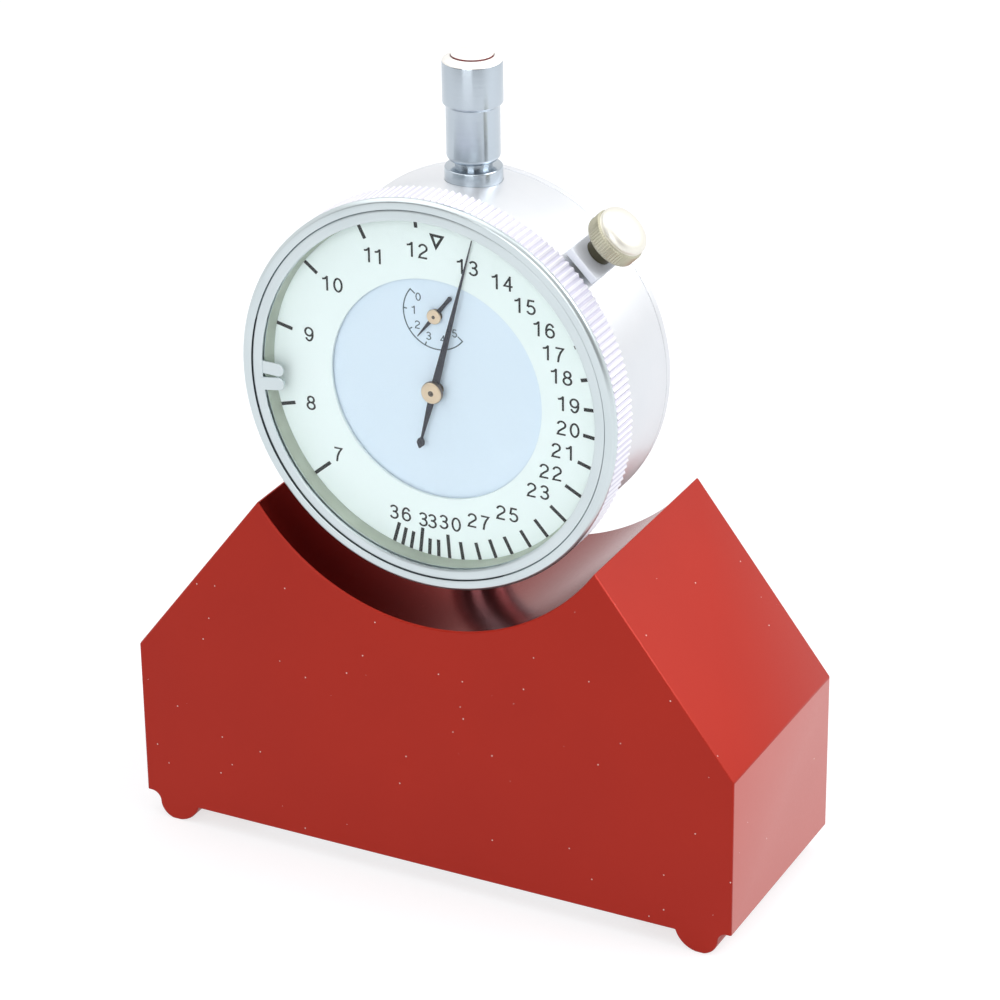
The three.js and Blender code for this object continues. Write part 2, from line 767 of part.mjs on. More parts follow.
function gaugeStem() {
  const low = stemBottom - gaugeHeight;
  const high = stemTop - gaugeHeight;
  const collar = -caseFlat - faceGap;
  return [
    piece('gauge_stem', turnedUp([
      [stemBore, low], [stemRadius, low], [stemRadius, collar - stemCollarHeight],
      [stemCollarRadius, collar - stemCollarHeight], [stemCollarRadius, collar],
      [stemRadius, collar], [stemRadius, high], [stemBore, high], [stemBore, low],
    ], midSides), satinSteel),
    piece('stem_bush', turnedUp([
      [spindleRadius + runFit, low], [stemBore - seatFit, low], [stemBore - seatFit, low + bushLength],
      [spindleRadius + runFit, low + bushLength], [spindleRadius + runFit, low],
    ], midSides), brass),
  ];
}

function topBush() {
  const low = caseInnerRadius - stemInside;
  const flange = caseFlat + faceGap;
  const neck = caseFlat + topFlangeHeight;
  const top = neck + topNeckHeight;
  const bore = spindleRadius + runFit;
  return piece('top_bush', turnedUp([
    [bore, low], [topBushRadius, low], [topBushRadius, flange],
    [topFlangeRadius, flange], [topFlangeRadius, neck], [topNeckRadius, neck],
    [topNeckRadius, top], [bore, top], [bore, low],
  ], midSides), brightSteel);
}

function dustCap() {
  const neckTop = caseFlat + topFlangeHeight + topNeckHeight + faceGap;
  const neck = topNeckRadius + seatFit;
  const rim = capTopRadius + seatFit;
  const step = capTop - capHeadHeight;
  const seat = capTop - capDiscThickness;
  const roof = capTop - capRoof;
  const cap = turnedUp([
    [neck, capBottom], [capFootRadius, capBottom], [capRadius, capBottom + capFootBevel],
    [capRadius, step - capStep], [capHeadRadius, step], [capHeadRadius, capTop - capTopBevel],
    [rim, capTop], [rim, seat], [0, seat], [0, roof], [capBore, roof],
    [capBore, neckTop], [neck, neckTop], [neck, capBottom],
  ], midSides);
  const disc = rodZ(capTopRadius, seat + faceGap, capTop, midSides);
  return [piece('dust_cap', cap, brightSteel), piece('cap_disc', disc, satinSteel)];
}

// Movement

// Teeth round a circle, one centred on angle zero: straight flanks from root to tip.
function pinionOutline(teeth, pitchRadius) {
  const root = pitchRadius - dedendum;
  const tip = pitchRadius + addendum;
  const half = Math.PI / teeth;
  return Array.from({ length: teeth }, (_, i) => {
    const angle = 2 * Math.PI * i / teeth;
    return [
      around(root, angle - half * toothShare), around(tip, angle - half * tipShare),
      around(tip, angle + half * tipShare), around(root, angle + half * toothShare),
    ];
  }).flat();
}

// Pointed ridges round a circle, one centred on angle zero.
function ridgeOutline(count, tip, root) {
  const half = Math.PI / count;
  return Array.from({ length: count }, (_, i) => [
    around(tip, 2 * half * i), around(root, 2 * half * i + half),
  ]).flat();
}

// Pieces that turn are built about their own arbor, then set at its place and angle.
function onArbor(mesh, [x, z], angle = 0) {
  mesh.position.set(x, 0, z);
  mesh.rotation.y = -angle;
  return mesh;
}

const towardsCentre = Math.atan2(-rackArbor[1], -rackArbor[0]);
const centrePinionAngle = towardsCentre + Math.PI - Math.PI / centrePinionTeeth;
const pinionLead = (Math.PI / 2 - centrePinionAngle) % (2 * Math.PI / centrePinionTeeth);
const counterWheelAngle = -Math.PI / 2 + pinionLead * centrePinionTeeth / wheelTeeth + Math.PI / wheelTeeth;

function gearWheel(name, bore, place, angle) {
  const holes = Array.from({ length: wheelHoles }, (_, i) => {
    const [x, z] = around(wheelHoleCircle, 2 * Math.PI * (i + 0.5) / wheelHoles);
    return circle(wheelHoleRadius, tinySides, x, z);
  });
  const rim = ridgeOutline(wheelTeeth, wheelPitchRadius + addendum, wheelPitchRadius - wheelRootDepth);
  const wheel = panel(rim, wheelBack, wheelThickness, [circle(bore, tinySides), ...holes]);
  return onArbor(piece(name, wheel, brass), place, angle);
}

function rackGear() {
  const front = frontPlateBack + turnGap;
  const back = bridgeFront - turnGap;
  const reach = turnGap + pivotReach;
  const collar = wheelBack + wheelCollarLength;
  const shaft = turned([
    [0, front - reach], [pivotRadius, front - reach], [pivotRadius, front], [arborRadius, front],
    [arborRadius, wheelBack + faceGap], [wheelCollarRadius, wheelBack + faceGap],
    [wheelCollarRadius, collar], [arborRadius, collar], [arborRadius, back],
    [pivotRadius, back], [pivotRadius, back + reach], [0, back + reach],
  ], tinySides);
  const teeth = panel(pinionOutline(rackPinionTeeth, rackPitchRadius), rackPinionHalf, 2 * rackPinionHalf);
  return [
    onArbor(piece('rack_gear_arbor', join(shaft, teeth), brightSteel), rackArbor),
    gearWheel('rack_gear_wheel', arborRadius + seatFit, rackArbor, towardsCentre),
  ];
}

function thinArbor(front) {
  const back = middlePlateFront - turnGap;
  return turned([
    [0, front], [thinArborRadius, front], [thinArborRadius, back],
    [pivotRadius, back], [pivotRadius, back + turnGap + pivotReach], [0, back + turnGap + pivotReach],
  ], tinySides);
}

function centreArbor() {
  const outline = pinionOutline(centrePinionTeeth, centrePitchRadius);
  const teeth = panel(outline, centrePinionBack, centrePinionLength);
  const mesh = piece('centre_arbor', join(thinArbor(hubFront + faceGap), teeth), brightSteel);
  return onArbor(mesh, [0, 0], centrePinionAngle);
}

function counterGear() {
  const collar = cut(
    rodY(wheelCollarRadius, wheelBack + faceGap, wheelBack + wheelCollarLength, tinySides),
    rodY(thinArborRadius / 2, wheelBack - overrun, wheelBack + overrun + wheelCollarLength, tinySides),
  );
  const arbor = join(thinArbor(counterHubFront + faceGap), collar);
  return [
    onArbor(piece('counter_arbor', arbor, brightSteel), counterArbor),
    gearWheel('counter_wheel', thinArborRadius + seatFit, counterArbor, counterWheelAngle),
  ];
}

const pillarPlaces = pillarAnglesDeg.map((angle) => around(pillarCircle, angle * degree));
const dialFeet = [[-dialFootPlace, dialFootDrop], [dialFootPlace, dialFootDrop]];
const bridgePosts = [-bridgePostSpread, bridgePostSpread].map((dz) => [-bridgePostOffset, rackArbor[1] + dz]);
const hairspringEnd = [
  counterArbor[0] - hairspringOuter - hairspringWidth - studRadius - faceGap, counterArbor[1],
];

function holesAt(places, radius) {
  return places.map(([x, z]) => circle(radius, tinySides, x, z));
}

function frontPlate() {
  const open = [
    ...holesAt([rackArbor], pivotRadius + runFit),
    ...holesAt([[0, 0], counterArbor], thinArborRadius + runFit),
    ...holesAt(pillarPlaces, pillarSpigot + seatFit),
    ...holesAt(dialFeet, dialFootRadius + seatFit),
  ];
  const plate = panel(circle(frontPlateRadius, fineSides), frontPlateBack, plateThickness, open);
  const root = frontPlateBack - plateThickness / 2;
  const stud = rodY(studRadius, root, hairspringBack, tinySides, ...hairspringEnd);
  return piece('front_plate', join(plate, stud), brass);
}

function middlePlate() {
  const back = ledgeFront - faceGap;
  const root = back - plateThickness / 2;
  const open = [
    circle(rackPitchRadius + addendum + turnGap, smallSides, ...rackArbor),
    ...holesAt([[0, 0], counterArbor], pivotRadius + runFit),
    ...holesAt(pillarPlaces, pillarSpigot + seatFit),
    ...holesAt(plateScrewPlaces, plateScrewRadius + seatFit),
  ];
  const plate = panel(circle(middlePlateRadius, fineSides), back, plateThickness, open);
  const notch = (low, high) => box(
    [-plateNotchHalf, back - plateThickness - overrun, low], [plateNotchHalf, back + overrun, high],
  );
  const postTop = bridgeFront - faceGap;
  const threadLow = bridgeFront + bridgeThickness - bridgeScrewLength - seatFit;
  const threadRadius = bridgeScrewRadius + seatFit;
  const anchorTop = back + anchorLength;
  return piece('middle_plate', cut(
    join(
      plate,
      ...bridgePosts.map(([x, z]) => rodY(bridgePostRadius, root, postTop, tinySides, x, z)),
      rodY(anchorRadius, root, anchorTop, tinySides, returnSpringPlace, anchorHeight),
    ),
    notch(plateNotchLevel, middlePlateRadius + overrun),
    notch(-middlePlateRadius - overrun, -plateNotchLevel),
    ...bridgePosts.map(([x, z]) => rodY(threadRadius, threadLow, bridgeFront, tinySides, x, z)),
  ), brass);
}

function rearBridge() {
  const [[postX, lowZ], [, highZ]] = bridgePosts;
  const right = rackArbor[0] + bridgeMargin;
  const outline = [
    [postX - bridgeMargin, lowZ - bridgeMargin], [right, lowZ + bridgeMargin],
    [right, highZ - bridgeMargin], [postX - bridgeMargin, highZ + bridgeMargin],
  ];
  const holes = [
    ...holesAt([rackArbor], pivotRadius + runFit),
    ...holesAt(bridgePosts, bridgeScrewRadius + seatFit),
  ];
  const plate = panel(outline, bridgeFront + bridgeThickness, bridgeThickness, holes);
  const screws = bridgePosts.map(([x, z], i) => {
    const screw = cheeseHead(bridgeScrewHead, bridgeScrewHeadHeight, bridgeScrewRadius, bridgeScrewLength);
    const mesh = piece(`bridge_screw_${i + 1}`, screw.rotate([180, 0, 0]), springSteel);
    mesh.position.set(x, bridgeFront + bridgeThickness, z);
    return mesh;
  });
  return [piece('rear_bridge', plate, brass), ...screws];
}

function pillars() {
  const front = frontPlateBack + faceGap;
  const back = middlePlateFront - faceGap;
  const first = front - plateThickness;
  const last = back + plateThickness;
  return pillarPlaces.map((place, i) => {
    const pillar = turned([
      [0, first], [pillarSpigot, first], [pillarSpigot, front], [pillarRadius, front],
      [pillarRadius, back], [pillarSpigot, back], [pillarSpigot, last], [0, last],
    ], tinySides);
    return onArbor(piece(`pillar_${i + 1}`, pillar, brass), place);
  });
}

function plateScrews() {
  return plateScrewPlaces.map(([x, z], i) => {
    const screw = cheeseHead(plateScrewHead, plateScrewHeadHeight, plateScrewRadius, plateScrewLength);
    const mesh = piece(`plate_screw_${i + 1}`, screw, springSteel);
    mesh.position.set(x, middlePlateFront - faceGap, z);
    return mesh;
  });
}

function guideBlock() {
  const front = ledgeFront;
  const slotHalf = guidePinRadius + runFit;
  const block = box(
    [guideBlockNear, front, guideBlockLow],
    [guideBlockNear + guideBlockWidth, front + guideBlockDepth, guideBlockHigh],
  );
  const slot = box(
    [guideBlockNear - overrun, -slotHalf, guideBlockLow - overrun],
    [guideBlockNear + guideSlotDepth, slotHalf, guideBlockHigh + overrun],
  );
  return piece('spindle_guide_block', cut(block, slot), brass);
}

function innerDial() {
  const holes = holesAt([[0, 0], counterArbor], pointerHole);
  const back = innerDialFront + dialThickness;
  const disc = panel(circle(innerDialRadius, fineSides), back, dialThickness, holes);
  const root = back - dialThickness / 2;
  const feet = dialFeet.map(([x, z]) => rodY(dialFootRadius, root, frontPlateBack, tinySides, x, z));
  return piece('inner_dial', join(disc, ...feet), dialBlue);
}

// Spindle and what moves with it

function rackCutter() {
  const tipLine = -rackLine - addendum;
  const rootLine = -rackLine + dedendum;
  const low = Math.ceil(rackBelow / rackPitch);
  const high = Math.ceil(rackAbove / rackPitch);
  const teeth = [];
  for (let i = -low; i <= high; i += 1) {
    const middle = rackArbor[1] + i * rackPitch;
    const wide = rackPitch * (1 - rackTipShare) / 2;
    const narrow = rackPitch * (1 - rackRootShare) / 2;
    teeth.push([tipLine, middle - wide], [rootLine, middle - narrow]);
    teeth.push([rootLine, middle + narrow], [tipLine, middle + wide]);
  }
  const outside = -spindleRadius - overrun;
  const bottom = rackArbor[1] - (low + 1) * rackPitch;
  const top = rackArbor[1] + (high + 1) * rackPitch;
  const depth = 2 * (spindleRadius + overrun);
  const outline = [[outside, bottom], [tipLine, bottom], ...teeth, [tipLine, top], [outside, top]];
  return panel(outline, depth / 2, depth);
}

function spindle() {
  const low = spindleBottom - gaugeHeight;
  const rod = rodZ(spindleRadius, low + faceGap, spindleTop, midSides);
  const side = spindleRadius + overrun;
  return piece('spindle', cut(
    rod,
    rackCutter(),
    rodZ(contactScrewRadius + seatFit, low - overrun, low + contactScrewLength + faceGap, smallSides),
    rodX(guidePinRadius + seatFit, -side, side, tinySides, 0, guidePinHeight),
  ), brightSteel);
}

function contactPoint() {
  const low = anvilTop + seatFit - gaugeHeight;
  const high = spindleBottom - gaugeHeight;
  const ball = arc(0, low + contactBallRadius, contactBallRadius, -Math.PI / 2, 0, arcSteps);
  return piece('contact_point', turnedUp([
    [0, low], ...ball.slice(1), [contactWaist, low + contactLength / 2],
    [spindleRadius, high - contactLength / 4], [spindleRadius, high], [contactScrewRadius, high],
    [contactScrewRadius, high + contactScrewLength], [0, high + contactScrewLength],
  ], smallSides), brightSteel);
}

function guidePin() {
  return piece('spindle_guide_pin', rodX(
    guidePinRadius, -spindleRadius, guidePinReach, tinySides, 0, guidePinHeight,
  ), brightSteel);
}

function returnSpring() {
  return piece('spindle_return_spring', coil(
    returnSpringRadius, returnSpringWire, returnSpringTurns, returnSpringSteps, returnSpringSides,
    anchorHeight + anchorRadius + faceGap, guidePinHeight - guidePinRadius - faceGap, returnSpringPlace, 0,
  ), springSteel);
}

// Pointers

function mainPointer() {
  const half = [
    [-pointerTail, 0],
    [-pointerTailPlace - pointerTailHalf, pointerTailHalf / 2],
    [-pointerTailPlace, pointerTailHalf],
    [-pointerTailPlace + 2 * pointerTailHalf, pointerWaistHalf],
    [-hubRadius, pointerRootHalf],
    [hubRadius, pointerRootHalf],
    [pointerLength, pointerTipHalf],
  ];
  const outline = [...half, ...half.slice(1).map(([x, z]) => [x, -z]).reverse()];
  const collar = circle(hubSleeve + 2 * pointerWaistHalf, smallSides);
  const blade = join(
    panel(outline, pointerBack, pointerThickness), panel(collar, pointerBack, pointerThickness),
  );
  const hole = rodY(hubSleeve + seatFit, pointerBack - overrun, pointerBack + overrun, tinySides);
  return onArbor(piece('main_pointer', cut(blade, hole), blueSteel), [0, 0], pointerAngleDeg * degree);
}

// A flanged hub whose sleeve stands in the pointer's hole.
function hub(name, radius, front, flange, sleeve, sleeveLength, place) {
  const bore = thinArborRadius + seatFit;
  const body = turned([
    [bore, front], [radius, front], [radius, flange], [sleeve, flange],
    [sleeve, flange + sleeveLength], [bore, flange + sleeveLength], [bore, front],
  ], smallSides);
  return onArbor(piece(name, body, brass), place);
}

function pointerHub() {
  const flange = pointerBack - pointerThickness - faceGap;
  return hub('pointer_hub', hubRadius, hubFront, flange, hubSleeve, hubSleeveLength, [0, 0]);
}

function counterHub() {
  const flange = counterPointerBack - counterPointerThickness - faceGap;
  return hub(
    'counter_hub', counterHubRadius, counterHubFront, flange,
    counterHubSleeve, counterHubSleeveLength, counterArbor,
  );
}

function counterPointer() {
  const outline = [
    [-counterPointerTail, -counterPointerHalf / 2], [-counterPointerTail, counterPointerHalf / 2],
    [0, counterPointerHalf], [counterPointerLength, counterPointerTipHalf],
    [counterPointerLength, -counterPointerTipHalf], [0, -counterPointerHalf],
  ].reverse();
  const collar = circle(counterHubSleeve + counterPointerHalf / 2, smallSides);
  const blade = join(
    panel(outline, counterPointerBack, counterPointerThickness),
    panel(collar, counterPointerBack, counterPointerThickness),
  );
  const reach = counterPointerThickness + overrun;
  const [near, far] = [counterPointerBack - reach, counterPointerBack + reach];
  const hole = rodY(counterHubSleeve + seatFit, near, far, tinySides);
  const mesh = piece('counter_pointer', cut(blade, hole), blueSteel);
  return onArbor(mesh, counterArbor, counterPointerAngleDeg * degree);
}

// A flat spiral between the arbor's collet and the stud.
function hairspring() {
  const count = hairspringTurns * hairspringSteps;
  const line = (offset) => Array.from({ length: count + 1 }, (_, i) => {
    const share = i / count;
    const radius = hairspringInner + (hairspringOuter - hairspringInner) * share + offset;
    return around(radius, Math.PI + 2 * Math.PI * hairspringTurns * share);
  });
  const outline = [...line(0), ...line(hairspringWidth).reverse()];
  const spiral = panel(outline, hairspringBack, hairspringHeight);
  return onArbor(piece('hairspring', spiral, springSteel), counterArbor);
}

// Bezel

function bezel() {
  const ringBack = crystalBack - crystalThickness - faceGap;
  const ringFront = ringBack - grooveWidth;
  const seat = crystalRadius + seatFit;
  const body = turned([
    [bezelLip, bezelFront], [bezelBody - bezelEdge, bezelFront], [bezelBody, bezelFront + bezelEdge],
    [bezelBody, bezelBack], [bezelBore, bezelBack], [bezelBore, outerDialFront],
    [dialSeatRadius, outerDialFront], [crystalSeatRadius, crystalBack], [seat, crystalBack],
    [seat, ringBack], [grooveRadius, ringBack], [grooveRadius, ringFront],
    [bezelLip, ringFront], [bezelLip, bezelFront],
  ], fineSides);
  const ridges = ridgeOutline(ridgeCount, bezelRadius, bezelRadius - ridgeDepth);
  const band = panel(ridges, bandBack, bandBack - bandFront, [circle(bezelBody - bandDepth, fineSides)]);
  return piece('bezel', join(body, band), satinSteel);
}

function outerDial() {
  const back = outerDialFront + dialThickness;
  return piece('outer_dial', panel(
    circle(outerDialRadius, fineSides), back, dialThickness - faceGap, [circle(outerDialHole, fineSides)],
  ), dialWhite);
}

function crystal() {
  const disc = rodY(crystalRadius, crystalBack - crystalThickness, crystalBack - faceGap / 2, fineSides);
  return piece('crystal', disc, clearGlass);
}

// An open flat ring whose two ends turn inwards as rounded ears.
function snapRing() {
  const back = crystalBack - crystalThickness - faceGap - (grooveWidth - snapRingThickness) / 2;
  const outline = circle(snapRingOuter, fineSides);
  const ring = panel(outline, back, snapRingThickness, [circle(crystalSeatRadius, fineSides)]);
  const reach = crystalSeatRadius - earLength;
  const root = crystalSeatRadius + earWidth / 4;
  const ear = (sign) => {
    const middle = sign * (snapRingGapHalf + earWidth / 2);
    return [
      ...arc(reach + earWidth / 2, middle, earWidth / 2, Math.PI / 2, 1.5 * Math.PI, arcSteps),
      [root, middle - earWidth / 2], [root, middle + earWidth / 2],
    ];
  };
  const gap = box(
    [reach - overrun, back - snapRingThickness - overrun, -snapRingGapHalf],
    [snapRingOuter + overrun, back + overrun, snapRingGapHalf],
  );
  const solid = join(
    cut(ring, gap), panel(ear(-1), back, snapRingThickness), panel(ear(1), back, snapRingThickness),
  );
  return onArbor(piece('snap_ring', solid, satinSteel), [0, 0], snapRingAngleDeg * degree);
}

// Lock, in a group whose +Z is the screw's axis

function bezelClamp() {
  const half = clampWidth / 2;
  const under = clampTop - clampThickness;
  const top = box([-half, clampFront, under], [half, clampBack, clampTop]);
  const foot = box(
    [-half, clampBack - clampFootLength, clampFlat + faceGap], [half, clampBack, under + faceGap],
  );
  const hole = rodZ(lockShankRadius + runFit, under - overrun, clampTop + overrun, midSides, 0, lockPlace);
  return piece('bezel_clamp', cut(join(top, foot), hole), satinSteel);
}

function lockScrew() {
  const band = lockKnobRadius - knobRidgeDepth;
  const neckBottom = clampTop + faceGap;
  const rim = lockKnobTop + lockGroove;
  const dome = arc(0, 0, 1, 0, Math.PI / 2, arcSteps).map(([x, z]) => [
    band * x, rim + (lockDomeTop - rim) * z,
  ]);
  const body = turnedUp([
    [0, lockShankEnd], [lockShankRadius, lockShankEnd], [lockShankRadius, neckBottom],
    [lockNeckRadius, neckBottom], [lockNeckRadius, lockNeckTop], [band, lockKnobBottom],
    [band, lockKnobTop], [band - lockGroove, lockKnobTop + lockGroove / 2], ...dome,
  ], midSides);
  const grip = panel(ridgeOutline(knobRidges, lockKnobRadius, band), 0, lockKnobTop - lockKnobBottom);
  const knurled = grip.rotate([-90, 0, 0]).translate([0, 0, lockKnobBottom]);
  const mesh = piece('lock_screw', join(body, knurled), paleBrass);
  mesh.position.y = lockPlace;
  return mesh;
}

// The whole meter

const block = new THREE.Group();
block.add(baseBlock(), bottomPlate(), ...bottomScrews(), stemSetScrew());
block.add(measuringBar(), anvilButton(), ...barGuides());

const lock = new THREE.Group();
lock.add(bezelClamp(), lockScrew());
lock.rotation.y = lockAngleDeg * degree;

const gauge = new THREE.Group();
gauge.add(gaugeCase(), ...backCover(), ...gaugeStem(), topBush(), ...dustCap());
gauge.add(frontPlate(), middlePlate(), ...rearBridge(), ...pillars(), ...plateScrews());
gauge.add(guideBlock(), innerDial());
gauge.add(spindle(), contactPoint(), guidePin(), returnSpring());
gauge.add(...rackGear(), centreArbor(), mainPointer(), pointerHub());
gauge.add(...counterGear(), counterPointer(), counterHub(), hairspring());
gauge.add(bezel(), outerDial(), crystal(), snapRing(), lock);
gauge.position.z = gaugeHeight;

const meter = new THREE.Group();
meter.add(block, gauge);

export default meter;
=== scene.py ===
from math import asin, atan2, cos, pi, radians, sin, sqrt

import bmesh
import bpy
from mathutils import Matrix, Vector


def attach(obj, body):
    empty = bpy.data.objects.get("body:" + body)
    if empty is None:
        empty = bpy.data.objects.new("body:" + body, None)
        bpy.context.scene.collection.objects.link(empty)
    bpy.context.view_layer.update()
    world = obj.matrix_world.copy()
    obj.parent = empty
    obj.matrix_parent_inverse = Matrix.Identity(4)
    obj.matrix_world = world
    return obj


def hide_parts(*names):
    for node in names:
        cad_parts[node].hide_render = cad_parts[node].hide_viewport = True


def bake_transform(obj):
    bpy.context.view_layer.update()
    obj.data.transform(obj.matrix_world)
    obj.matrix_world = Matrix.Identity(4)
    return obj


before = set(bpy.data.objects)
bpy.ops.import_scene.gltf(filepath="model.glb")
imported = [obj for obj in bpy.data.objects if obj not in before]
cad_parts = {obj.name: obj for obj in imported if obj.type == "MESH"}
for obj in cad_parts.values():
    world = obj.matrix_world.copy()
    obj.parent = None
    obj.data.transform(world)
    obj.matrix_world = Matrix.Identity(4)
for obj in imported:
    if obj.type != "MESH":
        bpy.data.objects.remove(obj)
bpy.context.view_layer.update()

mm = 0.001  # the sizes below are millimetres
closeBy = 1e-6  # points nearer than this are one point
dialHeight = 76.65  # middle of the dial above the feet
dialCentre = (0, 0, dialHeight * mm)
counterRise = 10.945  # middle of the small pointer's arbor above the dial's
counterCentre = (0, 0, (dialHeight + counterRise) * mm)
origin = (0, 0, 0)  # also stands for no turn
lockTurn = (0, radians(45), 0)  # the lock screw stands out along this turn of the gauge's upright radius


# Modelling

def selectNothing():
    bpy.ops.object.select_all(action='DESELECT')


def onlyThis(piece):
    selectNothing()
    piece.select_set(True)
    bpy.context.view_layer.objects.active = piece


def putInMesh():
    # the selected piece's place, turn and scale go into its mesh
    bpy.ops.object.transform_apply(location=True, rotation=True, scale=True)


def startEdit(piece):
    onlyThis(piece)
    bpy.ops.object.mode_set(mode='EDIT')


def endEdit():
    bpy.ops.object.mode_set(mode='OBJECT')


def pick(kind, wanted):
    # selects the corners, edges or faces of the open piece that are wanted, and nothing else
    bpy.ops.mesh.select_all(action='DESELECT')
    bpy.context.tool_settings.mesh_select_mode = (kind == 'VERT', kind == 'EDGE', kind == 'FACE')
    shape = bpy.context.object.data
    mesh = bmesh.from_edit_mesh(shape)
    for item in {'VERT': mesh.verts, 'EDGE': mesh.edges, 'FACE': mesh.faces}[kind]:
        if wanted(item):
            item.select_set(True)
    bmesh.update_edit_mesh(shape)


def mendMesh():
    bpy.ops.mesh.select_all(action='SELECT')
    bpy.ops.mesh.remove_doubles(threshold=closeBy)
    bpy.ops.mesh.normals_make_consistent(inside=False)


def drawLine(name, points, roundings=()):
    # a small plane is merged to one corner, which is extruded from point to point
    selectNothing()
    bpy.ops.mesh.primitive_plane_add(size=mm, location=points[0])
    putInMesh()
    line = bpy.context.object
    line.name = name
    startEdit(line)
    bpy.context.tool_settings.mesh_select_mode = (True, False, False)
    bpy.ops.mesh.merge(type='CENTER')
    for here, there in zip(points, points[1:]):
        bpy.ops.mesh.extrude_vertices_move(TRANSFORM_OT_translate={'value': there - here})
    bpy.ops.mesh.select_all(action='SELECT')
    bpy.ops.mesh.remove_doubles(threshold=closeBy)
    for place, radius in roundings:
        pick('VERT', lambda corner: (corner.co - place).length < 2 * closeBy)
        bpy.ops.mesh.bevel(offset=radius * mm, segments=3, affect='VERTICES')
    bpy.ops.mesh.select_all(action='SELECT')
    return line


def turn(name, axis, profile, steps=192):
    # a profile of (radius, place on the axis, rounding of that corner), spun round Y or Z
    along = Vector((0, 1, 0)) if axis == 'Y' else Vector((0, 0, 1))
    points = [(Vector((1, 0, 0)) * radius + along * place) * mm for radius, place, *_ in profile]
    roundings = [(point, corner[2]) for point, corner in zip(points, profile) if len(corner) > 2]
    piece = drawLine(name, points, roundings)
    bpy.ops.mesh.spin(steps=steps, angle=2 * pi, center=origin, axis=along, use_auto_merge=True)
    mendMesh()
    endEdit()
    return piece


def plate(name, outline, back, front, rounding=0):
    # an outline of (x, z), filled and extruded along Y; rounding goes round every sharp corner of it
    points = [Vector((x, back, z)) * mm for x, z in outline]
    piece = drawLine(name, points + points[:1])
    bpy.ops.mesh.edge_face_add()
    bpy.ops.mesh.extrude_region_move(TRANSFORM_OT_translate={'value': (0, (front - back) * mm, 0)})
    mendMesh()
    endEdit()
    soften(piece, rounding)
    return piece


def soften(piece, width, steps=2, above=30):
    # breaks every edge that is sharper than the angle
    if not width:
        return
    onlyThis(piece)
    edge = piece.modifiers.new('softEdges', 'BEVEL')
    edge.width = width * mm
    edge.segments = steps
    edge.limit_method = 'ANGLE'
    edge.angle_limit = radians(above)
    bpy.ops.object.modifier_apply(modifier=edge.name)


def rod(axis, radius, start, end, a=0, b=0, sides=96):
    # a drill or a pin along Y or Z; a and b are its place on the other two axes
    middle = (start + end) / 2
    place, turned = ((a, middle, b), (pi / 2, 0, 0)) if axis == 'Y' else ((a, b, middle), origin)
    selectNothing()
    bpy.ops.mesh.primitive_cylinder_add(
        vertices=sides, radius=radius * mm, depth=(end - start) * mm, location=Vector(place) * mm,
        rotation=turned)
    putInMesh()
    return bpy.context.object


def block(low, high):
    low, high = Vector(low) * mm, Vector(high) * mm
    selectNothing()
    bpy.ops.mesh.primitive_cube_add(size=1, location=(low + high) / 2, scale=high - low)
    putInMesh()
    return bpy.context.object


def carve(piece, *tools, operation='DIFFERENCE'):
    for tool in tools:
        onlyThis(piece)
        cut = piece.modifiers.new('carve', 'BOOLEAN')
        cut.operation = operation
        cut.solver = 'EXACT'
        cut.object = tool
        bpy.ops.object.modifier_apply(modifier=cut.name)
        bpy.data.objects.remove(tool)


def settle(piece, place=origin, turned=origin):
    # moves and turns a piece about the origin, then puts that into its mesh
    onlyThis(piece)
    piece.location = place
    piece.rotation_euler = turned
    putInMesh()
    return piece


def copyOf(piece, name):
    # a copy with its own mesh
    twin = piece.copy()
    twin.data = piece.data.copy()
    twin.name = name
    bpy.context.collection.objects.link(twin)
    return twin


def joined(name, pieces):
    selectNothing()
    for piece in pieces:
        piece.select_set(True)
    bpy.context.view_layer.objects.active = pieces[0]
    bpy.ops.object.join()
    pieces[0].name = name
    return pieces[0]


def finish(piece, material, body, slot, *nodes, smooth=20):
    # puts a piece on its body, with its finish, in place of its nodes; its slot is not used
    onlyThis(piece)
    putInMesh()
    bpy.ops.object.shade_smooth_by_angle(angle=radians(smooth))
    piece.data.name = piece.name
    piece.data.materials.clear()
    piece.data.materials.append(material)
    if body:
        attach(piece, body)
    if nodes:
        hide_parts(*nodes)


def dress(piece, material, wanted):
    # gives the faces that are wanted another material
    startEdit(piece)
    pick('FACE', wanted)
    piece.data.materials.append(material)
    piece.active_material_index = len(piece.data.materials) - 1
    bpy.ops.object.material_slot_assign()
    endEdit()


def fromDial(face):
    # a face's middle, measured from the middle of the dial, in millimetres
    return (face.calc_center_median() - Vector(dialCentre)) / mm


def radiusOf(face):
    return fromDial(face).xz.length


def depthOf(face):
    return fromDial(face).y


def pressGrooves(piece, axis, sizes, onRim):
    # of the rows of corners round the rim some go in, which leaves round ridges between them
    steps = sizes['ridges'] * sizes['stepsToRidge']
    startEdit(piece)
    for rows, radius in (((1, 3), sizes['middle']), ((2,), sizes['valley'])):
        def goesIn(corner):
            x, y, z = corner.co
            row = round(atan2(z if axis == 'Y' else y, x) / (2 * pi) * steps) % sizes['stepsToRidge']
            return onRim(corner.co / mm) and row in rows
        pick('VERT', goesIn)
        share = radius / sizes['crest']
        bpy.ops.transform.resize(
            value=(share, 1, share) if axis == 'Y' else (share, share, 1), center_override=origin)
    endEdit()


def arc(x, z, radius, start, end, steps):
    angles = [start + (end - start) * i / steps for i in range(steps + 1)]
    return [(x + radius * cos(angle), z + radius * sin(angle)) for angle in angles]


# Materials

def colour(code):
    parts = [int(code[i:i + 2], 16) / 255 for i in (1, 3, 5)]
    return [part / 12.92 if part <= 0.04045 else ((part + 0.055) / 1.055) ** 2.4 for part in parts] + [1]


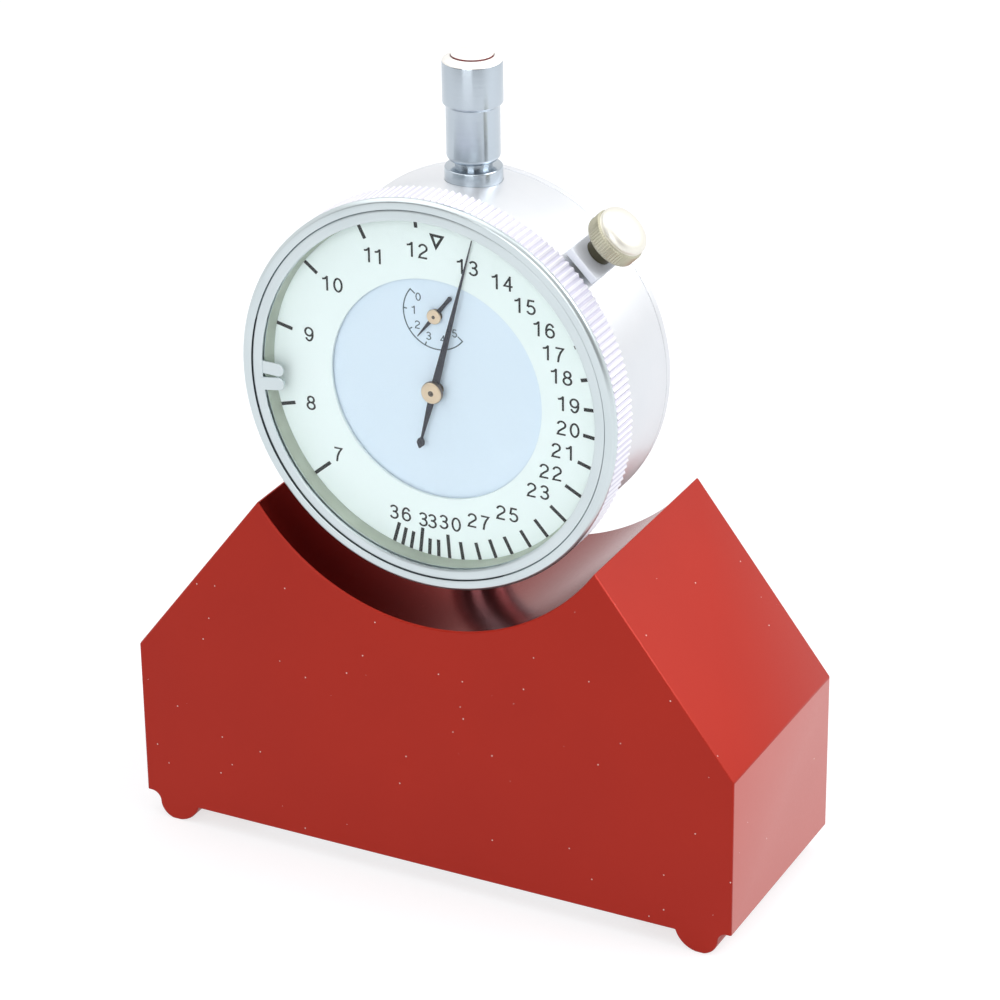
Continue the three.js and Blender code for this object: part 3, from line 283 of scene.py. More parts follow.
def newMaterial(name):
    material = bpy.data.materials.new(name)
    material.use_nodes = True
    tree = material.node_tree
    return material, tree, tree.nodes['Principled BSDF']


def add(tree, kind, settings=(), links=()):
    node = tree.nodes.new('ShaderNode' + kind)
    for name, value in dict(settings).items():
        if isinstance(name, int) or name in node.inputs:
            node.inputs[name].default_value = value
        else:
            setattr(node, name, value)
    for name, source in dict(links).items():
        tree.links.new(source, node.inputs[name])
    return node


def setSurface(shader, **values):
    for name, value in values.items():
        shader.inputs[name.replace('_', ' ')].default_value = value


def patches(tree, look, place):
    # two close colours in soft patches
    cloud = add(tree, 'TexNoise', {'Scale': 1 / (look['cloud'] * mm), 'Detail': 2}, {'Vector': place})
    return add(tree, 'Mix', {'data_type': 'RGBA', 6: colour(look['light']), 7: colour(look['dark'])},
               {0: cloud.outputs['Fac']}).outputs[2]


def coverWith(tree, shader, look, shade, grain, spread=0.05, height=0.01):
    # the grain varies the roughness by the spread and raises bumps of the height, in millimetres
    gloss = add(tree, 'MapRange', {'To Min': look['rough'] - spread, 'To Max': look['rough'] + spread},
                {'Value': grain.outputs['Fac']})
    bump = add(tree, 'Bump', {'Strength': look['bump'], 'Distance': height * mm},
               {'Height': grain.outputs['Fac']})
    tree.links.new(shade, shader.inputs['Base Color'])
    tree.links.new(gloss.outputs[0], shader.inputs['Roughness'])
    tree.links.new(bump.outputs[0], shader.inputs['Normal'])


def anodisedRed(name, **look):
    # milled aluminium, dyed red and sealed: an even fine grain and a few specks of dust
    material, tree, shader = newMaterial(name)
    place = add(tree, 'TexCoord').outputs['Object']
    cloud = add(tree, 'TexNoise', {'Scale': 1 / (look['cloud'] * mm), 'Detail': 3}, {'Vector': place})
    dye = add(tree, 'Mix', {'data_type': 'RGBA', 6: colour(look['bright']), 7: colour(look['deep'])},
              {0: cloud.outputs['Fac']})
    grain = add(tree, 'TexNoise', {'Scale': 1 / (look['grain'] * mm), 'Detail': 2}, {'Vector': place})
    specks = add(tree, 'TexVoronoi', {'Scale': 1 / (look['dustApart'] * mm)}, {'Vector': place})
    near = add(tree, 'Math', {'operation': 'LESS_THAN', 1: dustSizes['radius']},
               {0: specks.outputs['Distance']})
    rare = add(tree, 'Math', {'operation': 'GREATER_THAN', 1: dustSizes['empty']},
               {0: specks.outputs['Color']})
    dust = add(tree, 'Math', {'operation': 'MULTIPLY'}, {0: near.outputs[0], 1: rare.outputs[0]})
    dusty = add(tree, 'Mix', {'data_type': 'RGBA', 7: colour(look['dust'])},
                {0: dust.outputs[0], 6: dye.outputs[2]})
    coverWith(tree, shader, look, dusty.outputs[2], grain, height=0.02)
    setSurface(shader, Metallic=look['metal'], Specular_IOR_Level=0.3, Sheen_Weight=look['sheen'],
               Sheen_Roughness=0.4)
    return material


def turnedMetal(name, axis='Y', centre=dialCentre, turned=origin, **look):
    # a lathe leaves fine rings round its axis: they are drawn from the distance to the axis and along it
    material, tree, shader = newMaterial(name)
    place = add(tree, 'TexCoord').outputs['Object']
    local = add(tree, 'Mapping', {'vector_type': 'TEXTURE', 'Location': centre, 'Rotation': turned},
                {'Vector': place}).outputs[0]
    split = add(tree, 'SeparateXYZ', links={0: local})
    across, along = ('Z', 'Y') if axis == 'Y' else ('Y', 'Z')
    flat = add(tree, 'CombineXYZ', links={0: split.outputs['X'], 1: split.outputs[across]})
    radius = add(tree, 'VectorMath', {'operation': 'LENGTH'}, {0: flat.outputs[0]})
    rings = add(tree, 'CombineXYZ', links={0: radius.outputs['Value'], 1: split.outputs[along]})
    lines = add(tree, 'TexNoise', {'noise_dimensions': '2D', 'Scale': 1 / (look['lines'] * mm), 'Detail': 3},
                {'Vector': rings.outputs[0]})
    coverWith(tree, shader, look, patches(tree, look, local), lines, spread=0.06)
    around = add(tree, 'Tangent', {'direction_type': 'RADIAL', 'axis': axis})
    tree.links.new(around.outputs[0], shader.inputs['Tangent'])
    setSurface(shader, Metallic=look['metal'], Anisotropic=look.get('streak', 0), Anisotropic_Rotation=0.25)
    return material


def groundMetal(name, **look):
    # ground or drawn metal, oil or lacquer with a fine irregular grain
    material, tree, shader = newMaterial(name)
    place = add(tree, 'TexCoord').outputs['Object']
    stretched = add(tree, 'Mapping', {'Scale': look.get('stretch', (1, 1, 1))}, {'Vector': place})
    grain = add(tree, 'TexNoise', {'Scale': 1 / (look['grain'] * mm), 'Detail': 3},
                {'Vector': stretched.outputs[0]})
    coverWith(tree, shader, look, patches(tree, look, place), grain, spread=0.06)
    setSurface(shader, Metallic=look['metal'])
    return material


def printedLacquer(name, **look):
    # flat lacquer on a metal dial: even, silky, with a faint mottle
    material, tree, shader = newMaterial(name)
    place = add(tree, 'TexCoord').outputs['Object']
    grain = add(tree, 'TexNoise', {'Scale': 1 / (look['grain'] * mm), 'Detail': 2}, {'Vector': place})
    coverWith(tree, shader, look, patches(tree, look, place), grain)
    setSurface(shader, Specular_IOR_Level=look['shine'])
    return material


def clearCrystal():
    # polished clear acrylic with a faint glare-free coat; lamps reach the dial through it
    material, tree, shader = newMaterial('clear_acrylic')
    setSurface(shader, Base_Color=colour('#fbfffe'), Roughness=0.0, IOR=1.36, Transmission_Weight=1,
               Specular_IOR_Level=0.05)
    out = tree.nodes['Material Output']
    path = add(tree, 'LightPath')
    through = add(tree, 'BsdfTransparent')
    both = add(tree, 'MixShader', links={0: path.outputs['Is Shadow Ray'], 1: shader.outputs[0],
                                         2: through.outputs[0]})
    tree.links.new(both.outputs[0], out.inputs['Surface'])
    return material


# In each look: two colours, roughness, share of metal, and the size of patches, grain and lathe lines in
# millimetres. The finest grain is drawn coarser than it is, so that it shows.

dustSizes = {'radius': 0.045, 'empty': 0.6}  # shares of the specks' spacing and of the places left empty

# the milled faces are an even deep red with a silky shine
redAluminium = anodisedRed('anodised_red_aluminium',
    bright='#b52309', deep='#a61b06', dust='#e9d4cf', cloud=30, grain=0.3, dustApart=2.4,
    rough=0.4, metal=0.2, sheen=0.1, bump=0.12)
# the ends are painted a paler, duller pink: a painted sheen of the light from behind at a grazing angle
endSheenRed = anodisedRed('red_end_painted_sheen',
    bright='#d07a74', deep='#c8716b', dust='#f0dad6', cloud=20, grain=0.4, dustApart=2.4,
    rough=0.45, metal=0.1, sheen=0.14, bump=0.12)
# the bored saddle is smoother and mirrors the gauge; its red and its dust are painted deeper, as shade under
# the gauge
saddleRed = anodisedRed('polished_red_saddle_painted_shade',
    bright='#86160c', deep='#7a1008', dust='#b98a86', cloud=12, grain=0.3, dustApart=3,
    rough=0.25, metal=0.95, sheen=0, bump=0.12)
# satin plating has a soft white shine that streaks along the axis
satinChrome = turnedMetal('satin_chrome_on_brass',
    light='#e6e7ea', dark='#dcdfe3', rough=0.46, metal=0.82, streak=0.5, lines=0.16, cloud=9, bump=0.2)
# the bezel's rim is a little darker and mirrors more
bezelChrome = turnedMetal('satin_chrome_bezel',
    light='#d2dbdd', dark='#c5cfd2', rough=0.32, metal=1, streak=0.4, lines=0.14, cloud=8, bump=0.15)
# blasted flutes are pale and scatter the light
fluteChrome = turnedMetal('blasted_chrome_flutes',
    light='#f1f0f6', dark='#e8e7ef', rough=0.45, metal=0.5, lines=0.2, cloud=8, bump=0.1)
# dust in the valleys greys them
# the valleys are painted greyer, as shade in the grooves
fluteShade = turnedMetal('flute_valleys_painted_shade',
    light='#dbd9e7', dark='#d1cfde', rough=0.5, metal=0.25, lines=0.2, cloud=8, bump=0.1)
# the wall round the dial is painted a flat, darker grey-green, as shade in the recess under the ring
wallShadeGrey = turnedMetal('grey_green_wall_painted_shade',
    light='#bfc8ba', dark='#9da796', rough=0.6, metal=0, lines=0.16, cloud=5, bump=0.3)
# the upright parts are polished: sharp light and dark bands along them
uprightChrome = turnedMetal('polished_chrome_upright',
    light='#bec7cf', dark='#b2bcc5', rough=0.22, metal=1, streak=0.9, lines=0.3, cloud=6,
    bump=0.01, axis='Z', centre=origin)
# the hubs' faces are turned brass with a warm even shine
brassLook = dict(
    light='#e2cbb2', dark='#d5bba0', rough=0.3, metal=1, streak=0.3, lines=0.12, cloud=4, bump=0.15)
brassHub = turnedMetal('polished_brass', **brassLook)
counterBrass = turnedMetal('polished_brass_counter', centre=counterCentre, **brassLook)
# the long pointer's hub is painted dark brown at its side, as shade and a dark reflection
hubSideShade = turnedMetal('brass_side_painted_shade',
    light='#7b6a63', dark='#655650', rough=0.4, metal=0.7, lines=0.12, cloud=2, bump=0.2)
# the button on the cap is matt and nearly white; on the cap's upward shoulder the same pale finish is a
# painted highlight
paleCapAndHighlight = turnedMetal('pearl_button_and_painted_highlight',
    light='#f6f4f0', dark='#eceae5', rough=0.5, metal=0.5, lines=0.15, cloud=3, bump=0.2,
    axis='Z', centre=origin)
# nickel over brass gives the lock screw a warm white
paleBrass = turnedMetal('nickelled_brass',
    light='#f0eee6', dark='#e4e1d6', rough=0.45, metal=0.9, lines=0.15, cloud=5, bump=0.15,
    axis='Z', turned=lockTurn)
# its knurl is painted darker and yellower than the head, as shade on the knurled band
knurlShadeBrass = turnedMetal('nickelled_brass_knurl_painted_shade',
    light='#cdcab6', dark='#b4b19b', rough=0.42, metal=0.9, lines=0.15, cloud=3, bump=0.2,
    axis='Z', turned=lockTurn)
# the clamp is matt, bluish white on its faces
clampChrome = groundMetal('matt_chrome_clamp',
    light='#eceff5', dark='#e0e5ee', rough=0.5, metal=0.2, grain=0.3, cloud=3, bump=0.2)
# the neck under the knurl is painted dark, as shade under the knob's head
neckShadeBrass = groundMetal('brass_neck_painted_shade',
    light='#56523f', dark='#403d2d', rough=0.45, metal=0.5, grain=0.2, cloud=2, bump=0.1)
# ground faces shine brightly along the grinding marks
groundSteel = groundMetal('ground_steel',
    light='#d3d7db', dark='#c0c5ca', rough=0.25, metal=1, grain=0.25, cloud=8, bump=0.15,
    stretch=(0.1, 1, 1))
# zinc on the screws is a cool middle grey
screwSteel = groundMetal('zinc_plated_steel',
    light='#b9bec4', dark='#a0a6ad', rough=0.3, metal=1, grain=0.2, cloud=2, bump=0.15)
# drawn wire is darker, with a narrow shine
springWire = groundMetal('drawn_spring_steel',
    light='#8e939a', dark='#7b8088', rough=0.32, metal=1, grain=0.12, cloud=1.5, bump=0.1)
# the movement's plates are brushed brass with fine lines
platedBrass = groundMetal('brushed_brass_plate',
    light='#d2b27d', dark='#c2a06b', rough=0.3, metal=1, grain=0.2, cloud=6, bump=0.2,
    stretch=(0.1, 1, 1))
# the pointers are blued until they are nearly black
bluedSteel = groundMetal('blued_steel',
    light='#15172c', dark='#0e0f20', rough=0.42, metal=0.3, grain=0.15, cloud=2, bump=0.1)
# a thin dull dark line is painted in the seam, as shade under the lip
seamShade = groundMetal('painted_shade_in_seam',
    light='#414b51', dark='#30393f', rough=0.5, metal=0, grain=0.2, cloud=2, bump=0.05)
# and in the dimples a painted dark brown dot, as shade in the hole
dimpleShade = groundMetal('painted_shade_in_dimple',
    light='#55463e', dark='#3d322d', rough=0.5, metal=0, grain=0.2, cloud=1, bump=0.05)
# round the button a dark red line is painted, as the reflection of the red block
redReflectionLine = groundMetal('painted_red_reflection_line',
    light='#8c3030', dark='#5e1c1e', rough=0.4, metal=0, grain=0.2, cloud=1, bump=0.05)
# the dial is a silky cold white
dialLacquer = printedLacquer('dial_lacquer',
    light='#edf4f6', dark='#e6f0f0', rough=0.5, shine=0.3, grain=0.3, cloud=16, bump=0.06)
# the inner dial is a silky pale blue
innerLacquer = printedLacquer('inner_dial_lacquer',
    light='#dbe7f5', dark='#d2e0f0', rough=0.5, shine=0.3, grain=0.3, cloud=14, bump=0.06)
# the print is a flat black
dialInk = printedLacquer('dial_ink',
    light='#14171a', dark='#0c0e10', rough=0.6, shine=0.05, grain=0.2, cloud=1, bump=0.05)
# and on the small scale a thin slate grey
scaleInk = printedLacquer('small_scale_ink',
    light='#51616e', dark='#43525e', rough=0.6, shine=0.15, grain=0.2, cloud=1, bump=0.05)
crystalClear = clearCrystal()
print('materials ready')


# Camera and light

# place in metres, turn in degrees and lens in mm, solved from the view with a bezel of 58 mm
camera = {'place': (0.228829, -0.439560, 0.291817), 'turn': (64.4005, 0.6475, 26.8413), 'lens': 138.36}
bpy.ops.object.camera_add(location=camera['place'], rotation=[radians(angle) for angle in camera['turn']])
eye = bpy.context.object
eye.data.lens = camera['lens']
eye.data.sensor_width = 36
eye.data.clip_start = 0.01
bpy.context.scene.camera = eye

lampsAim = Vector((0, 0, 0.06))
lamps = [
    # name, place, size and power
    ('skyPanel', (-0.3, -0.1, 0.96), 1.2, 4.5),
    ('frontPanel', (0.13, -0.9, 0.42), 0.6, 3.4),
    ('sidePanel', (0.62, 0.25, 0.68), 0.6, 6.0),
]
for name, place, size, power in lamps:
    turned = (lampsAim - Vector(place)).to_track_quat('-Z', 'Y').to_euler()
    bpy.ops.object.light_add(type='AREA', location=place, rotation=turned)
    lamp = bpy.context.object
    lamp.name = name
    lamp.data.size = size
    lamp.data.energy = power


def onlyForSight(tree):
    # 1 for what the camera sees, directly, mirrored or through glass
    path = add(tree, 'LightPath')
    either = add(tree, 'Math', {'operation': 'MAXIMUM'},
                 {0: path.outputs['Is Camera Ray'], 1: path.outputs['Is Glossy Ray']})
    return add(tree, 'Math', {'operation': 'MAXIMUM'},
               {0: either.outputs[0], 1: path.outputs['Is Transmission Ray']}).outputs[0]


room = {'light': 0.45, 'floor': '#a3a5a8', 'lift': 0.7, 'floorSize': 8,
        'dimSide': (0.165, -0.986, 0), 'dimFrom': 0.3, 'dimTo': 0.7, 'dimmest': 0.2}
world = bpy.data.worlds.new('plain_room')
world.use_nodes = True
bpy.context.scene.world = world
sky = world.node_tree
lighting = add(sky, 'Background', {'Color': (1, 1, 1, 1), 'Strength': room['light']})
# mirrored, the room is white but for its dim side in front of the gauge
direction = add(sky, 'TexCoord').outputs['Generated']
ahead = add(sky, 'VectorMath', {'operation': 'DOT_PRODUCT', 1: room['dimSide']}, {0: direction})
dimming = add(sky, 'MapRange', {'interpolation_type': 'SMOOTHSTEP', 'From Min': room['dimFrom'],
                                'From Max': room['dimTo'], 'To Min': 0, 'To Max': 1 - room['dimmest']},
              {'Value': ahead.outputs['Value']})
mirrored = add(sky, 'Math', {'operation': 'MULTIPLY'},
               {0: dimming.outputs[0], 1: add(sky, 'LightPath').outputs['Is Glossy Ray']})
white = add(sky, 'Math', {'operation': 'SUBTRACT', 0: 1}, {1: mirrored.outputs[0]})
backdrop = add(sky, 'Background', {'Color': (1, 1, 1, 1)}, {'Strength': white.outputs[0]})
chosen = add(sky, 'MixShader', links={0: onlyForSight(sky), 1: lighting.outputs[0], 2: backdrop.outputs[0]})
sky.links.new(chosen.outputs[0], sky.nodes['World Output'].inputs['Surface'])

selectNothing()
bpy.ops.mesh.primitive_plane_add(size=room['floorSize'])
floor = bpy.context.object
floor.name = 'floor'
paper, paperTree, paperShader = newMaterial('pale_paper')
setSurface(paperShader, Base_Color=colour(room['floor']), Roughness=0.9, Specular_IOR_Level=0.0)
glow = add(paperTree, 'Math', {'operation': 'MULTIPLY', 1: room['lift']}, {0: onlyForSight(paperTree)})
shine = add(paperTree, 'Emission', {'Color': (1, 1, 1, 1)}, {'Strength': glow.outputs[0]})
lit = add(paperTree, 'AddShader', links={0: paperShader.outputs[0], 1: shine.outputs[0]})
below = add(paperTree, 'BsdfTransparent')
side = add(paperTree, 'NewGeometry')
oneSided = add(paperTree, 'MixShader', links={0: side.outputs['Backfacing'], 1: lit.outputs[0],
                                              2: below.outputs[0]})
paperTree.links.new(oneSided.outputs[0], paperTree.nodes['Material Output'].inputs['Surface'])
floor.data.materials.append(paper)
bpy.context.scene.view_settings.view_transform = 'Standard'
print('camera, light and floor ready')


# Block

blockSizes = {
    'length': 95.5, 'depth': 34.5, 'underside': 2.8, 'wallBottom': 3.95, 'shoulder': 28.65,
    'peak': 56.15, 'peakPlace': 26.5, 'saddle': 32, 'edge': 0.25,
    'land': 1.2, 'footInner': 4, 'footOuter': 2.7, 'footFillet': 1.5, 'toe': 0.65,
    'cover': (62, 28, 2.4), 'pocket': (46, 24, 11.6), 'play': 0.05,
    # radius, start and end of each bore
    'stemBore': (4.05, 26.7, 60), 'spindleBore': (3.6, 10.6, 28), 'grubBore': (2.53, 3, 18.25),
    'springWell': (4.4, 10.6, 21.1), 'pinHole': (2.08, 20, 29), 'screwHole': (1.53, 2.8, 10.83),
}
grubHeight = 34
springSides = (-14, 14)  # places of the bar's two springs and guide pins
coverScrewPlace = (26.8, 9.8)  # of each of the four, to both sides of the middle


def footLine(sizes):
    land = sizes['land'] / 2
    innerLevel = sqrt(sizes['footInner'] ** 2 - land ** 2)
    outerLevel = sqrt(sizes['footOuter'] ** 2 - land ** 2)
    filletLevel = sizes['wallBottom'] - sizes['footFillet']
    reach = sqrt((sizes['footOuter'] + sizes['footFillet']) ** 2 - (filletLevel - outerLevel) ** 2)
    middle = sizes['length'] / 2 - sizes['toe'] - reach
    meet = atan2(filletLevel - outerLevel, reach)
    rise = asin((innerLevel - sizes['underside']) / sizes['footInner'])
    return (
        arc(middle, innerLevel, sizes['footInner'], pi + rise, 1.5 * pi - asin(land / sizes['footInner']), 20)
        + arc(middle, outerLevel, sizes['footOuter'], asin(land / sizes['footOuter']) - pi / 2, meet, 20)
        + arc(middle + reach, filletLevel, sizes['footFillet'], meet + pi, pi / 2, 12)[1:]
    )


def saddleMiddle(sizes):
    return sizes['peak'] + sqrt(sizes['saddle'] ** 2 - sizes['peakPlace'] ** 2)


def buildBlock(sizes):
    half, front = sizes['length'] / 2, sizes['depth'] / 2
    start = atan2(sizes['peak'] - saddleMiddle(sizes), sizes['peakPlace'])
    right = footLine(sizes) + [(half, sizes['wallBottom']), (half, sizes['shoulder'])]
    saddle = arc(0, saddleMiddle(sizes), sizes['saddle'], start, -pi - start, 128)
    left = [(-x, z) for x, z in reversed(right)]
    piece = plate('red_block', right + saddle + left, front, -front, sizes['edge'])
    under, play = sizes['underside'], sizes['play']
    coverX, coverY = sizes['cover'][0] / 2 + play, sizes['cover'][1] / 2 + play
    pocketX, pocketY, pocketTop = sizes['pocket']
    screwX, screwY = coverScrewPlace
    carve(
        piece,
        block((-coverX, -coverY, 0), (coverX, coverY, under + sizes['cover'][2] + play)),
        block((-pocketX / 2, -pocketY / 2, under), (pocketX / 2, pocketY / 2, pocketTop + 0.5)),
        rod('Z', *sizes['stemBore']),
        rod('Z', *sizes['spindleBore']),
        rod('Y', *sizes['grubBore'], 0, grubHeight),
        *[rod('Z', *sizes['springWell'], x, 0, 64) for x in springSides],
        *[rod('Z', *sizes['pinHole'], x, 0, 48) for x in springSides],
        *[rod('Z', *sizes['screwHole'], x, y, 48) for x in (-screwX, screwX) for y in (-screwY, screwY)],
    )
    return piece


redBlock = buildBlock(blockSizes)
finish(redBlock, redAluminium, 'stand', 'red_anodised', 'base_block')


def onSaddle(face):
    middle = face.calc_center_median() / mm
    radius = blockSizes['saddle']
    reach = sqrt(middle.x ** 2 + (middle.z - saddleMiddle(blockSizes)) ** 2)
    return abs(face.normal.y) < 0.3 and radius - 0.1 < reach < radius + 0.02


def onEnd(face):
    nearEnd = (blockSizes['length'] / 2 - 0.15) * mm
    return abs(face.normal.x) > 0.99 and abs(face.calc_center_median().x) > nearEnd


# the saddle gets the deeper red of its painted shade
dress(redBlock, saddleRed, onSaddle)
# the ends get the paler pink of the painted sheen
dress(redBlock, endSheenRed, onEnd)

barSizes = {
    'width': 6, 'length': 22, 'land': 1.2, 'flange': (39, 8, 11), 'edge': 0.15,
    'pinHole': (2.03, 7, 12), 'buttonHole': (1.53, 9, 12),
}


def buildBar(sizes):
    half = sizes['width'] / 2
    land = sizes['land'] / 2
    level = sqrt(half ** 2 - land ** 2)
    wide, low, high = sizes['flange']
    right = arc(0, level, half, asin(land / half) - pi / 2, 0, 24)
    right += [(half, low), (wide / 2, low), (wide / 2, high)]
    left = [(-x, z) for x, z in reversed(right)]
    end = sizes['length'] / 2
    piece = plate('measuring_blade', right + left, end, -end, sizes['edge'])
    carve(piece, *[rod('Z', *sizes['pinHole'], x, 0, 48) for x in springSides],
          rod('Z', *sizes['buttonHole'], 0, 0, 48))
    return piece


finish(buildBar(barSizes), groundSteel, 'bar_and_spindle', 'bright_steel', 'measuring_bar')


def countersink(radius, depth, shank, length):
    # widest at the zero plane, pointing up
    return turn('countersink', 'Z', [
        (0, -1), (radius, -1), (radius, 0.25), (shank, depth), (shank, length), (0, length)], 64)


coverSizes = {'length': 62, 'width': 28, 'low': 2.8, 'high': 5.2, 'edge': 0.2, 'slot': (6.7, 22.7),
              'sink': (2.83, 1.53, 1.53, 4)}
across, deep = coverScrewPlace
coverScrewPlaces = [(x, y, coverSizes['low'])
                    for x, y in ((-across, -deep), (across, -deep), (across, deep), (-across, deep))]


def buildCover(sizes):
    piece = block((-sizes['length'] / 2, -sizes['width'] / 2, sizes['low']),
                  (sizes['length'] / 2, sizes['width'] / 2, sizes['high']))
    piece.name = 'cover_plate'
    soften(piece, sizes['edge'])
    slotX, slotY = sizes['slot']
    carve(piece, block((-slotX / 2, -slotY / 2, 0), (slotX / 2, slotY / 2, 8)))
    for place in coverScrewPlaces:
        carve(piece, settle(countersink(*sizes['sink']), Vector(place) * mm))
    return piece


finish(buildCover(coverSizes), groundSteel, 'stand', 'bright_steel', 'bottom_plate')


def slottedScrew(sizes):
    head, shank, length = sizes['head'], sizes['shank'], sizes['length']
    piece = turn('screwModel', 'Z', [
        (0, 0), (head, 0, 0.08), (head, 0.25, 0.05), (shank, sizes['depth']), (shank, length),
        (0, length)], 64)
    carve(piece, block((-head - 1, -0.3, -1), (head + 1, 0.3, 0.6)))
    return piece


def setScrews(name, node, sizes, places, turns):
    # one screw is modelled and copied to each place with its own slot angle, then taken away
    model = slottedScrew(sizes)
    for i, (place, turned) in enumerate(zip(places, turns), 1):
        copied = settle(copyOf(model, f'{name}_{i}'), Vector(place) * mm, turned)
        finish(copied, screwSteel, 'stand', 'spring_steel', f'{node}_{i}')
    bpy.data.objects.remove(model)


coverScrews = {'head': 2.8, 'depth': 1.5, 'shank': 1.5, 'length': 8, 'slots': (20, 75, -35, 50)}
setScrews('cover_screw', 'bottom_screw', coverScrews, coverScrewPlaces,
          [(0, 0, radians(angle)) for angle in coverScrews['slots']])

grub = turn('grub_screw', 'Y', [
    (0, 4.08), (2.1, 4.08), (2.5, 4.48), (2.5, 11.8, 0.1), (2.3, 12.08), (0, 12.08)], 64)
carve(grub, rod('Y', 1.443, 9.58, 13, 0, 0, 6))  # its hexagon socket
finish(settle(grub, (0, 0, grubHeight * mm)), springWire, 'stand', 'spring_steel', 'stem_set_screw')
print('block ready')


# Gauge housing, drawn about the middle of the dial and then lifted to it

caseSizes = {
    'outer': 27.1, 'inner': 24.9, 'spigot': 26.4, 'back': 4.9, 'shoulder': -9.4, 'front': -11.55,
    'ledge': (22.5, -2.5, -1), 'flat': (2.85, 26.9, -2.05),
    # radius, start and end of each bore
    'stemBore': (4.03, -28, -20.2), 'stemSeat': (4.83, -28.1, -26.5), 'bushBore': (3.03, 20.2, 28),
    'bushSeat': (4.08, 26.5, 28.1), 'lockHole': (1.28, 22, 29),
}
lockPlace = -5  # of the lock screw's axis along the gauge's


def buildCase(sizes):
    outer, inner, spigot = sizes['outer'], sizes['inner'], sizes['spigot']
    back, shoulder, front = sizes['back'], sizes['shoulder'], sizes['front']
    ledge, ledgeFront, ledgeBack = sizes['ledge']
    case = turn('gauge_body', 'Y', [
        (outer, shoulder, 0.2), (outer, back, 0.15), (inner, back), (inner, ledgeBack), (ledge, ledgeBack),
        (ledge, ledgeFront), (inner, ledgeFront), (inner, front), (spigot, front, 0.1), (spigot, shoulder),
        (outer, shoulder)], 240)
    flatHalf, flatLevel, flatBack = sizes['flat']
    flat = block((-flatHalf, shoulder - 1, flatLevel), (flatHalf, flatBack, outer + 1))
    hole = rod('Z', *sizes['lockHole'], 0, lockPlace, 48)
    carve(case, rod('Z', *sizes['stemBore']), rod('Z', *sizes['stemSeat']), rod('Z', *sizes['bushBore']),
          rod('Z', *sizes['bushSeat']), settle(flat, turned=lockTurn), settle(hole, turned=lockTurn))
    return settle(case, dialCentre)


finish(buildCase(caseSizes), satinChrome, 'stand', 'satin_case', 'gauge_case')

backSizes = {'radius': 27.1, 'front': 4.95, 'rim': 6.05, 'back': 6.55, 'chamfer': 0.5, 'screwCircle': 22.6,
             'screwAngles': (45, 135, 225, 315), 'sink': (1.63, 0.83, 0.83, 5)}
backScrewPlaces = [
    Vector((backSizes['screwCircle'] * cos(radians(angle)), backSizes['back'],
            backSizes['screwCircle'] * sin(radians(angle)))) for angle in backSizes['screwAngles']]


def buildBackCover(sizes):
    radius, front, rim, back = sizes['radius'], sizes['front'], sizes['rim'], sizes['back']
    cover = turn('back_disc', 'Y', [
        (0, front), (radius, front, 0.1), (radius, rim, 0.05), (radius - sizes['chamfer'], back, 0.1),
        (0, back)], 240)
    for place in backScrewPlaces:
        carve(cover, settle(countersink(*sizes['sink']), place * mm, (pi / 2, 0, 0)))
    return settle(cover, dialCentre)


finish(buildBackCover(backSizes), satinChrome, 'stand', 'satin_case', 'gauge_back_cover')

backScrews = {'head': 1.6, 'depth': 0.8, 'shank': 0.8, 'length': 5, 'slots': (15, 80, -40, 55)}
setScrews('case_screw', 'back_screw', backScrews,
          [place + Vector((0, 0, dialHeight)) for place in backScrewPlaces],
          [(pi / 2, radians(angle), 0) for angle in backScrews['slots']])

uprightParts = [
    # piece, node, slot, what it is drawn over, and its outline: radius, height and rounding of each corner
    ('gauge_stalk', 'gauge_stem', 'satin_case', origin, [
        (2.7, 27), (4, 27, 0.3), (4, 48.6), (4.8, 48.6, 0.15), (4.8, 50.1), (4, 50.1), (4, 54.05),
        (2.7, 54.05), (2.7, 27)]),
    ('top_collar', 'top_bush', 'bright_steel', dialCentre, [
        (2.08, 22.6), (3, 22.6), (3, 26.55), (4.05, 26.55, 0.12), (4.05, 28.85, 0.2), (2.6, 28.85),
        (2.6, 33.05, 0.15), (2.08, 33.05), (2.08, 22.6)]),
    ('spindle_cap', 'dust_cap', 'bright_steel', dialCentre, [
        (0, 42.8), (2.3, 42.8), (2.3, 33.1), (2.63, 33.1), (2.63, 29.8), (3.3, 29.8, 0.1), (3.75, 30.4, 0.2),
        (3.75, 37.7, 0.1), (4.2, 38.1, 0.15), (4.2, 44.1, 0.2), (3.03, 44.75, 0.08), (3.03, 44.5),
        (0, 44.5)]),
]
for name, node, slot, base, outline in uprightParts:
    finish(settle(turn(name, 'Z', outline, 128), base), uprightChrome, 'stand', slot, node)
capShoulder = 43.9  # above the middle of the dial: from here up, the cap's upward faces are painted pale as a highlight
dress(bpy.data.objects['spindle_cap'], paleCapAndHighlight,
      lambda face: face.normal.z > 0.35 and fromDial(face).z > capShoulder)

button = turn('cap_button', 'Z', [(0, 44.55), (2.96, 44.55), (2.96, 44.95, 0.06), (0, 45)], 96)
finish(settle(button, dialCentre), paleCapAndHighlight, 'stand', 'satin_case', 'cap_disc')
dress(button, redReflectionLine, lambda face: abs(face.normal.z) < 0.3)  # the painted reflection of the red block round the button's edge
print('housing ready')


# Bezel with crystal and snap ring

# the way to its middle, the cosine of half its angle, and where it lies on the bezel
lowSeam = {'x': -0.64, 'z': -0.77, 'cosine': 0.42, 'inner': 27.3, 'outer': 27.42, 'back': -15.2}


def inLowSeam(face):
    # the seam between bezel and ring is painted dark at its lower left part, as shade under the lip
    middle = fromDial(face)
    return lowSeam['x'] * middle.x + lowSeam['z'] * middle.z > lowSeam['cosine'] * radiusOf(face)


bezelSizes = {
    'ridges': 180, 'stepsToRidge': 4, 'crest': 28.95, 'middle': 28.78, 'valley': 28.6,
    'land': 28.45, 'flutesFront': -14.8, 'flutesBack': -9.95,
}


